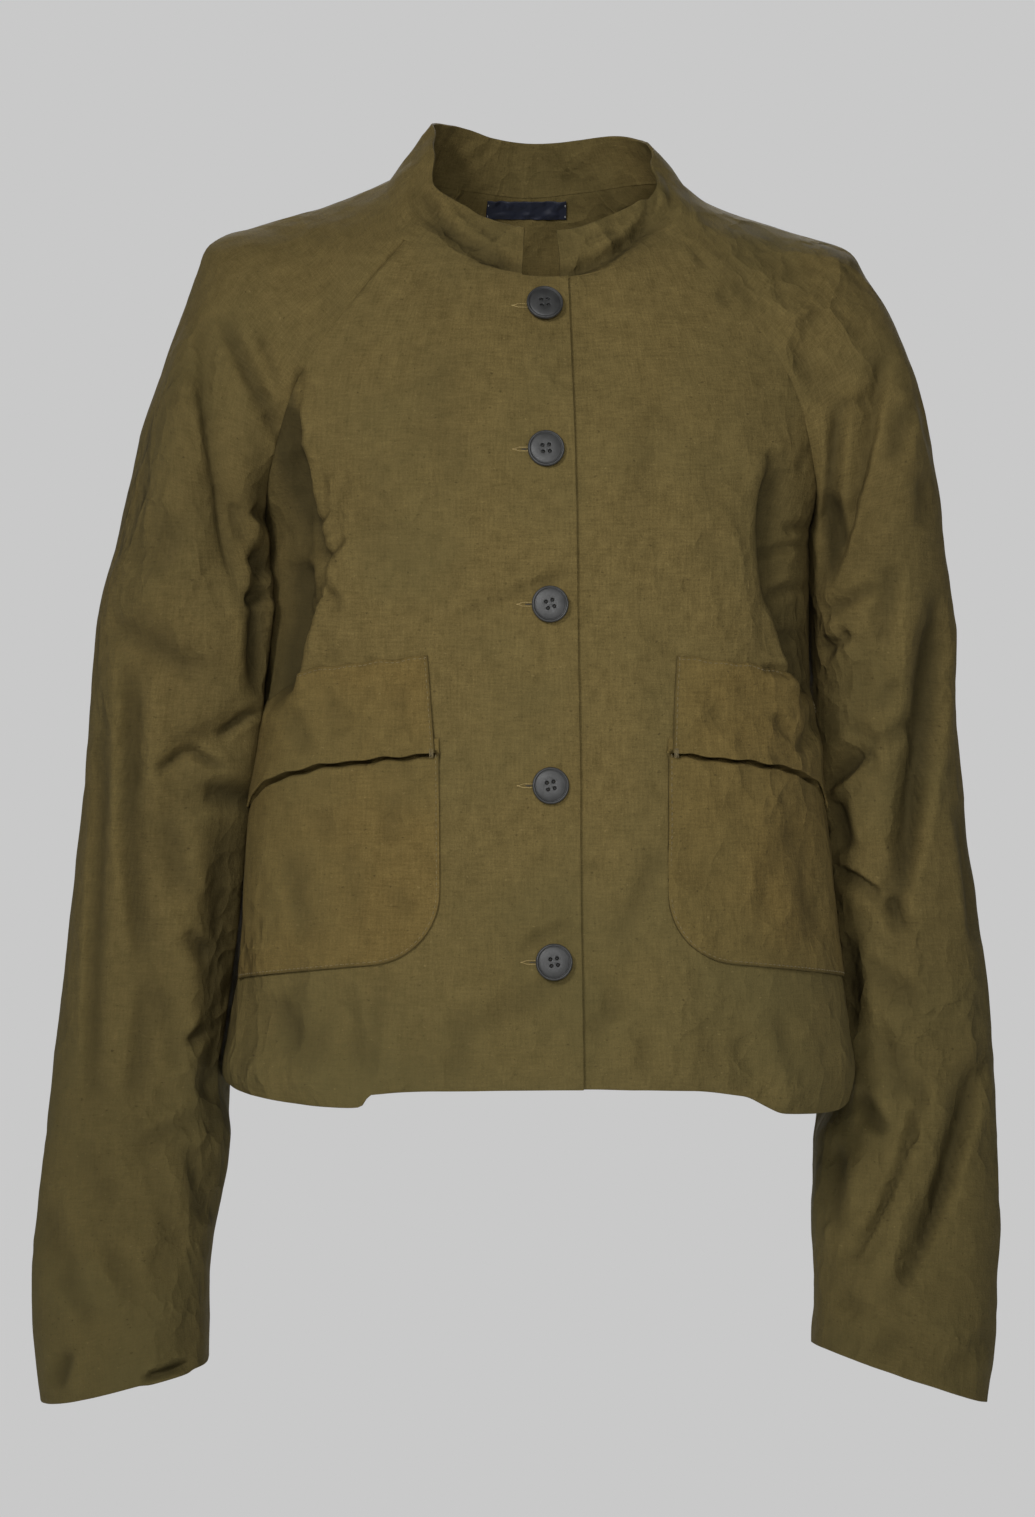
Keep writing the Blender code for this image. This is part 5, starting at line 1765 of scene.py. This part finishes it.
@dataclass
class Buttons:
    """Five buttons with raised rims, sewn through four holes, and their buttonholes."""

    body: Body
    finishes: Finishes
    places: tuple[ButtonPlace, ...] = rows_of(ButtonPlace,
        (-2, -49), (-3.5, -131), (-2, -217), (-2, -317), (-0.5, -414),
    )
    profile: tuple[ProfilePoint, ...] = rows_of(ProfilePoint,
        (0, 0), (8.6, 0), (9.7, 0.45), (10.15, 1.2), (10.2, 2.0), (10.05, 2.6), (9.7, 3.0), (9.3, 3.05),
        (9.0, 2.9), (8.75, 2.35), (8.5, 2.2), (8.25, 2.35), (7.9, 2.5), (4.0, 2.4), (0, 2.35),
    )
    sides: int = 72
    gap: float = 0.4
    rim_rounding: float = 0.12
    rim_angle: float = 50
    hole_radius: float = 1.05
    hole_spacing: float = 3.7
    hole_sides: int = 20
    drill_length: float = 12
    turns: tuple[float, ...] = (4, 5, 17, 10, 8)
    thread_and_shade_size: Triple = (0.98, 0.98, 0.5)
    thread_and_shade_height: float = 0.9
    slit: Stitch = Stitch(length=6.0, gap=-1.2, radius=0.5)
    slit_left: float = 17.4
    slit_right: float = 4.0
    slit_half_width: float = 0.95
    slit_opening: Pair = (-0.6, 3.0)
    slit_depth: float = 0.3
    slit_first: int = 4
    wrap_pitch: float = 0.52
    wrap_size: Triple = (0.36, 0.3, 0.34)
    wrap_range: Pair = (0.85, 1.1)
    wrap_out: float = 0.1
    wrap_lift: float = 0.16
    end_places: tuple[float, ...] = (-0.3, -0.8)
    end_size: Triple = (0.4, 0.5, 0.42)
    end_narrowing: float = 0.2
    end_lift: float = 0.15

    def disc(self) -> bpy.types.Mesh:
        """The turned disc with its four holes.

        Returns:
            A mesh with its back on the XY plane.
        """
        shape = bmesh.new()
        points = [shape.verts.new((p.radius * MM, 0, p.height * MM)) for p in self.profile]
        edges = [shape.edges.new(pair) for pair in zip(points, points[1:])]
        bmesh.ops.spin(
            shape, geom=points + edges, cent=(0, 0, 0), axis=(0, 0, 1), angle=2 * math.pi,
            steps=self.sides, use_merge=True,
        )
        bmesh.ops.remove_doubles(shape, verts=shape.verts, dist=WELD_DISTANCE * MM)
        bmesh.ops.recalc_face_normals(shape, faces=shape.faces)
        disc = linked("disc", mesh_of("disc", shape))
        drill = bmesh.new()
        for hole in self.holes():
            bmesh.ops.create_cone(
                drill, cap_ends=True, segments=self.hole_sides, radius1=self.hole_radius * MM,
                radius2=self.hole_radius * MM, depth=self.drill_length * MM, matrix=moved_to(hole),
            )
        cutter = linked("drill", mesh_of("drill", drill))
        cut = disc.modifiers.new("holes", "BOOLEAN")
        cut.object = cutter
        mesh = bpy.data.meshes.new_from_object(disc.evaluated_get(bpy.context.evaluated_depsgraph_get()))
        for made in (disc, cutter):
            bpy.data.objects.remove(made)
        return mesh

    def holes(self) -> list[Vector]:
        """Centres of the four holes."""
        half = self.hole_spacing / 2
        return [Vector((x, y, 0)) for x in (-half, half) for y in (-half, half)]

    def seat(self, place: ButtonPlace, degrees: float) -> Matrix:
        """Place of a button on the right front, turned about its own axis."""
        angle = self.body.angle_at(place.x, place.height)
        normal = self.body.sewn_normal(angle, place.height)
        point = self.body.sewn(angle, place.height) + self.gap * normal
        return moved_to(point) @ facing(normal) @ Matrix.Rotation(math.radians(degrees), 4, "Z")

    def threads(self) -> list[Matrix]:
        """Thread down each of the four holes, near-black so that it also paints the shade in the holes, seen
        from the button's own place.
        """
        sunk = Vector((0, 0, self.thread_and_shade_height))
        return [moved_to(hole + sunk) @ bead_size(*self.thread_and_shade_size) for hole in self.holes()]

    def buttonhole(self, place: ButtonPlace, seed: int) -> tuple[list[Matrix], Array, Array]:
        """Threads round a buttonhole and its slit.

        Args:
            place: Where its button sits.
            seed: Which small unevenness.

        Returns:
            One matrix for each thread, the points of the slit and the normals there.
        """
        random = np.random.default_rng(seed)
        xs = np.arange(place.x - self.slit_left, place.x + self.slit_right, self.wrap_pitch)
        heights = np.full_like(xs, place.height)
        angles = self.body.angle_at(xs, heights)
        points = self.body.surface(angles, heights)
        normals = self.body.sewn_normal(angles, heights)
        length, width, thickness = self.wrap_size
        beads = []
        for x, point, normal in zip(xs, points, normals):
            seat = moved_to(point) @ facing(normal)
            apart = self.slit_half_width * smooth_step(*self.slit_opening, x - xs[0])
            for sign in (-1, 1):
                size = bead_size(length, random.uniform(*self.wrap_range) * width, thickness)
                beads.append(seat @ moved_to((0, sign * (apart + self.wrap_out), self.wrap_lift)) @ size)
        length, width, thickness = self.end_size
        seat = moved_to(points[0]) @ facing(normals[0])
        for out in self.end_places:
            size = bead_size(length, width + self.end_narrowing * out, thickness)
            beads.append(seat @ moved_to((out, 0, self.end_lift)) @ size)
        return beads, points, normals

    def build(self) -> None:
        """Makes the buttons, their thread and the buttonholes."""
        disc = self.disc()
        beads: list[Matrix] = []
        hole_thread_and_shade: list[Matrix] = []
        slit_shadow_beads: list[Matrix] = []
        for number, place in enumerate(self.places, start=1):
            seat = self.seat(place, self.turns[number - 1])
            mesh = disc.copy()
            mesh.transform(seat)
            piece = add_object(f"horn_button_{number}", mesh, self.finishes.horn)
            round_edges(piece, self.rim_rounding, self.rim_angle)
            fit(piece, "button", f"button_{number}")
            # Near-black thread filling each hole, partly thread and partly painted shade
            hole_thread_and_shade += [seat @ bar for bar in self.threads()]
            wraps, points, normals = self.buttonhole(place, number)
            beads += wraps
            # Painted shadow in each slit: near-black beads a little under the cloth
            line = (points - self.slit_depth * normals)[self.slit_first :]
            slit_shadow_beads += self.slit.beads(line, normals[self.slit_first :])
        bpy.data.meshes.remove(disc)
        fit(bead_object("button_thread_and_hole_shade", hole_thread_and_shade, self.finishes.dark_thread_and_shade), "button")
        fit(bead_object("buttonhole_thread", beads, self.finishes.gold_thread), "linen")
        fit(bead_object("buttonhole_slit_shadow", slit_shadow_beads, self.finishes.dark_thread_and_shade), "linen")


@dataclass
class NeckLabel:
    """A plain woven label inside the back of the neck, held by a stitch at each corner."""

    body: Body
    finishes: Finishes
    half_width: float = 24.3
    top: float = 24
    bottom: float = 14
    depth: float = 2.3
    cloth: float = 0.8
    crumple: Crumple = Crumple(41, 9, 0.45)
    ridge: float = 0.8
    ridge_height: float = 16.8
    ridge_width: float = 1.4
    wave_share: float = 0.4
    wave_rate: float = 0.4
    raised_range: Pair = (-0.2, 1.2)
    columns: int = 61
    rows: int = 19
    stitch: Stitch = Stitch(length=1.5, gap=3.0, radius=0.3)
    stitched_rows: int = 7

    def build(self) -> None:
        """Makes the label and its stitches."""
        across = np.linspace(-self.half_width, self.half_width, self.columns)
        aside, heights = np.meshgrid(across, np.linspace(self.bottom, self.top, self.rows))
        back = self.body.back_y(heights) - self.body.middle(heights)
        angles = 180 - np.degrees(np.arctan2(aside, back))
        normals = self.body.sewn_normal(angles, heights)
        inner_face = self.body.sewn(angles, heights) - (self.depth + self.cloth) * normals
        waves = 1 - self.wave_share + self.wave_share * np.sin(self.wave_rate * aside + 1)
        raised = self.ridge * waves * np.exp(-(((heights - self.ridge_height) / self.ridge_width) ** 2))
        raised = np.clip(self.crumple.at(inner_face) + raised, *self.raised_range)
        points = inner_face - raised[..., None] * normals
        place = np.stack([-self.body.cloth_place(angles, heights)[..., 0], heights * MM], axis=-1)
        piece = cloth_object("neck_ribbon", points, place, -normals, self.finishes.label, self.cloth)
        fit(piece, "label", "neck_label")
        beads = []
        for column in (1, -2):
            for row in (slice(1, self.stitched_rows), slice(-self.stitched_rows, -1)):
                beads += self.stitch.beads(points[row, column], -normals[row, column])[:1]
        fit(bead_object("label_stitches", beads, self.finishes.white_thread), "label")


@dataclass
class Studio:
    """Pale floor, soft lights, plain grey surroundings and the camera."""

    finishes: Finishes
    floor_height: float = -1.3
    floor_radius: float = 3.2
    floor_sides: int = 96
    surround: Colour = (0.584, 0.584, 0.584, 1)
    ambient: Colour = (0.115, 0.128, 0.130, 1)
    aim: Triple = (0, 0, -0.3)
    lamps: tuple[Lamp, ...] = (
        Lamp("key_light", (-1.3, -2.5, 0.9), 0.6, 46),
        Lamp("fill_light", (1.2, -2.8, 0.3), 1.4, 9),
        Lamp("back_light", (0.4, 3.0, 1.6), 1.8, 120),
        Lamp("left_rim_light", (3.0, 0.8, 0.6), 1.5, 10),
        Lamp("right_rim_light", (-3.0, 0.8, 0.6), 1.5, 10),
    )
    chest_place: Triple = (-0.2, -3.0, 0.25)
    chest_aim: Triple = (0.05, -0.1, -0.26)
    chest_power: float = 194
    chest_angle: float = 22
    chest_radius: float = 0.35
    chest_shape: Triple = (0.62, 1, 1)

    @staticmethod
    def stand(data: bpy.types.Light, place: Triple, aim: Triple) -> Piece:
        """A light that stands at one place and points at another, both in metres."""
        stood = linked(data.name, data)
        stood.location = place
        stood.rotation_euler = (Vector(aim) - Vector(place)).to_track_quat("-Z", "Y").to_euler()
        return stood

    def build_lights(self) -> None:
        """Stands the soft square lights, and a narrow upright one with a soft edge for the chest."""
        for lamp in self.lamps:
            square = bpy.data.lights.new(lamp.name, "AREA")
            square.size = lamp.side
            square.energy = lamp.power
            self.stand(square, lamp.place, self.aim)
        spot = bpy.data.lights.new("chest_light", "SPOT")
        spot.energy = self.chest_power
        spot.spot_size = math.radians(self.chest_angle)
        spot.spot_blend = 1.0
        spot.shadow_soft_size = self.chest_radius
        self.stand(spot, self.chest_place, self.chest_aim).scale = self.chest_shape

    def build_camera(self) -> None:
        """Stands the camera before the jacket, level and a little turned."""
        right, forward = VIEW.axes()
        data = bpy.data.cameras.new("photo_camera")
        data.lens = VIEW.lens
        data.sensor_width = VIEW.sensor
        camera = linked("photo_camera", data)
        place = VIEW.aside * right - VIEW.distance * forward + np.array([0, 0, VIEW.eye_height])
        camera.location = place * MM
        camera.rotation_euler = Vector(forward).to_track_quat("-Z", "Y").to_euler()
        bpy.context.scene.camera = camera

    def build_surround(self) -> None:
        """Plain grey all round, which lights the jacket less than it shows."""
        world = bpy.data.worlds.new("studio_surround")
        world.use_nodes = True
        nodes = world.node_tree.nodes
        seen = nodes.new("ShaderNodeLightPath")
        colour = nodes.new("ShaderNodeMix")
        colour.data_type = "RGBA"
        colour.inputs[MIX_FIRST].default_value = self.ambient
        colour.inputs[MIX_SECOND].default_value = self.surround
        links = world.node_tree.links
        links.new(seen.outputs["Is Camera Ray"], colour.inputs["Factor"])
        links.new(colour.outputs[MIX_RESULT], nodes["Background"].inputs["Color"])
        bpy.context.scene.world = world

    def build(self) -> None:
        """Sets up the studio."""
        self.build_camera()
        self.build_lights()
        self.build_surround()
        disc = bmesh.new()
        bmesh.ops.create_circle(
            disc, cap_ends=True, segments=self.floor_sides, radius=self.floor_radius,
            matrix=Matrix.Translation((0, 0, self.floor_height)),
        )
        floor = mesh_of("studio_floor", disc)
        add_object("studio_floor", floor, self.finishes.floor)
        bpy.context.scene.view_settings.view_transform = "Standard"


@dataclass
class RightSleeve(Sleeve):
    """The wearer's right sleeve."""

    side: Side = Side.RIGHT
    rings: tuple[Ring, ...] = rows_of(Ring,
        (-175, 156, 237, 0, 69, -2), (-225, 142, 250, 0, 67, -4), (-269, 146, 254, 0, 64, 1),
        (-354, 158, 262, 0, 61, 18), (-440, 168, 271, 0, 58, 26), (-526, 175, 281, 2, 56, 12),
        (-583, 184, 285, 6, 55, -2), (-611, 186, 285, 9, 54.5, -8), (-653, 186, 281, 12, 54, -14),
    )
    shoulder: tuple[ShoulderPoint, ...] = rows_of(ShoulderPoint,
        (0, 83, 31, 10), (0.1, 112, 16.9, 10), (0.255, 149.5, 2.6, 9), (0.385, 185, -11, 7),
        (0.45, 192.5, -26, 6), (0.61, 210, -68.9, 2), (0.82, 226.3, -126, -2), (1, 237, -175, -4),
    )
    front_folds: Creases = rows_of(Crease,
        (-193, -52, -174, -199, 13, 7), (-249, -224, -198, -264, 14, 5),
        (-163, -279, -216, -309, 11, 5), (-232, -249, -233, -326, 11, 3.5),
        (-226, -501, -176, -481, 12, 3),
    )
    back_folds: Creases = rows_of(Crease,
        (-160, -190, -214, -270, 15, 6), (-240, -300, -190, -350, 14, 5),
        (-250, -460, -205, -520, 13, 4),
    )
    front_creases: Creases = rows_of(Crease,
        (-195, -46, -164, -230, 6, 2.6, -5, 0.45), (-163, -158, -143, -172, 6, 6),
        (-162, -184, -148, -195, 6, 6), (-166, -212, -148, -206, 5, 5),
        (-156, -176, -158, -268, 8, 7), (-170, -156, -166, -178, 4, 3.5),
        (-248, -226, -190, -256, 12, 2.8, 0, 0.4), (-226, -196, -204, -160, 14, 2.5),
        (-228, -100, -238, -190, 14, 2.5), (-247, -254, -256, -504, 6, 4, -2, 0.5),
        (-235, -243, -226, -420, 8, 5.5, -4, 0.5), (-217, -311, -200, -299, 3.6, 4.4, 0, 0.4),
        (-201, -298, -178, -309, 3.6, 4.4, 0, 0.4), (-180, -292, -157, -274, 3.6, 4.6, 0, 0.4),
        (-190, -322, -158, -326, 9, 5), (-172, -322, -180, -520, 13, 5, -6),
        (-200, -400, -184, -416, 7, 4, 0, -0.3), (-200, -466, -186, -454, 5, 4.5),
        (-186, -500, -229, -522, 8, 2.6, 0, 0.5), (-198, -520, -186, -570, 9, 4),
        (-248, -578, -228, -618, 7, 1.6, 0, 0.4), (-274, -598, -254, -627, 7, 2, 0, 0.4),
        (-282, -556, -264, -606, 10, 2), (-262, -520, -240, -560, 11, 1.6),
        (-225, -657, -197, -647, 3.2, 5.5), (-268, -640, -276, -662, 6, 4),
        (-214, -430, -206, -480, 10, 2.8, 0, 0.4), (-222, -424, -232, -500, 9, 3, 0, 0.4),
        (-212, -330, -198, -384, 12, 3.6, 0, -0.4), (-205, -545, -215, -600, 11, 1.4),
    )
    back_creases: Creases = rows_of(Crease,
        (-180, -60, -165, -150, 10, 2.4), (-170, -230, -230, -260, 9, 2.4),
        (-235, -360, -190, -390, 9, 2.4), (-200, -420, -250, -440, 8, 1.8),
        (-240, -560, -215, -640, 9, 1.8),
    )
    crumples: tuple[Crumple, ...] = rows_of(Crumple, (21, 96, 0.9), (22, 46, 0.5, 0.7), (23, 22, 0.25, 0.6))
    area: float = 0.225


@dataclass
class LeftSleeve(Sleeve):
    """The wearer's left sleeve."""

    side: Side = Side.LEFT
    rings: tuple[Ring, ...] = rows_of(Ring,
        (-175, 156, 234, 0, 68, 4), (-225, 155, 242, 0, 66, 16), (-269, 157, 243, 0, 64, 24),
        (-354, 163, 252, 0, 61, 30), (-440, 170, 264, 0, 58, 30), (-497, 168, 268.5, 0, 57, 28),
        (-526, 163, 269, 2, 56, 24), (-583, 161, 267, 6, 55, 12), (-611, 161, 265, 9, 54.5, 4),
        (-653, 160, 259, 16.5, 54, -8),
    )
    shoulder: tuple[ShoulderPoint, ...] = rows_of(ShoulderPoint,
        (0, 82.6, 31, 10), (0.075, 101, 16.9, 10), (0.21, 139, 2.6, 9), (0.37, 181, -11, 8),
        (0.44, 190, -26, 7), (0.5, 199, -40.3, 6), (0.61, 210.3, -68.9, 5), (0.82, 225.5, -126, 4),
        (1, 234, -175, 4),
    )
    front_folds: Creases = rows_of(Crease,
        (197, -68, 160, -203, 15, 6.5), (220, -223, 207, -367, 13, 6), (165, -312, 191, -285, 11, 4),
        (218, -482, 174, -587, 12, 5), (247, -478, 220, -580, 13, 5),
    )
    back_folds: Creases = rows_of(Crease,
        (162, -186, 220, -262, 15, 6), (178, -300, 232, -338, 14, 5), (246, -440, 190, -500, 13, 4),
    )
    front_creases: Creases = rows_of(Crease,
        (205, -60, 165, -206, 6, 3.6, 2, -0.45), (174, -101, 191, -96, 4, 3),
        (214, -98, 205, -134, 7, 4, 0, -0.4), (221, -138, 223, -172, 7, 3),
        (206, -192, 199, -238, 7, 3.6, 0, -0.4), (164, -223, 197, -206, 5, 3.6, 2, 0.4),
        (164, -243, 180, -229, 5, 3.6), (166, -150, 168, -184, 6, 3.4),
        (232, -200, 205, -395, 9, 8, 6, -0.5), (164, -319, 192, -298, 6, 6, 0, 0.4),
        (193, -288, 192, -312, 4, 3), (194, -297, 217, -278, 8, 3),
        (167, -364, 197, -381, 5, 5, 2, -0.4), (168, -326, 176, -356, 8, 6),
        (202, -380, 210, -402, 7, 4.5), (242, -325, 252, -410, 9, 4.5, 0, 0.4),
        (224, -480, 179, -590, 3.6, 4.5, 7, -0.4), (257, -466, 206, -612, 7, 6, 6, -0.5),
        (184, -492, 199, -517, 6, 5), (238, -653, 260, -628, 7, 2), (172, -520, 168, -572, 9, 4.5),
        (174, -606, 186, -621, 7, 1.8), (240, -535, 226, -557, 8, 2), (214, -572, 238, -560, 8, 1.5),
        (178, -400, 180, -460, 9, 4.5), (186, -418, 222, -440, 10, 3, 0, -0.4),
        (200, -460, 214, -500, 10, 2.6), (182, -152, 176, -144, 4, 1), (206, -256, 196, -277, 7, 3),
        (210, -630, 190, -641, 8, 1.5),
    )
    back_creases: Creases = rows_of(Crease,
        (178, -64, 166, -150, 10, 2.4), (172, -226, 226, -250, 9, 2.4),
        (232, -350, 186, -386, 9, 2.4), (196, -410, 246, -430, 8, 1.8),
        (236, -545, 210, -630, 9, 1.8),
    )
    crumples: tuple[Crumple, ...] = rows_of(Crumple, (26, 96, 0.9), (27, 46, 0.5, 0.7), (28, 22, 0.25, 0.6))
    area: float = 0.219


def main() -> None:
    """Builds the studio and the jacket, piece by piece."""
    logging.basicConfig(level=logging.INFO, format="%(message)s")
    finishes = Finishes()
    Studio(finishes).build()
    body = Body()
    pockets = tuple(PatchPocket(body, side, finishes) for side in Side)
    Panels(body, finishes, pockets).build()
    for pocket in pockets:
        pocket.build()
    RightSleeve(body, finishes).build()
    LeftSleeve(body, finishes).build()
    Collar(body, finishes).build()
    Buttons(body, finishes).build()
    NeckLabel(body, finishes).build()


if __name__ == "__main__":
    main()
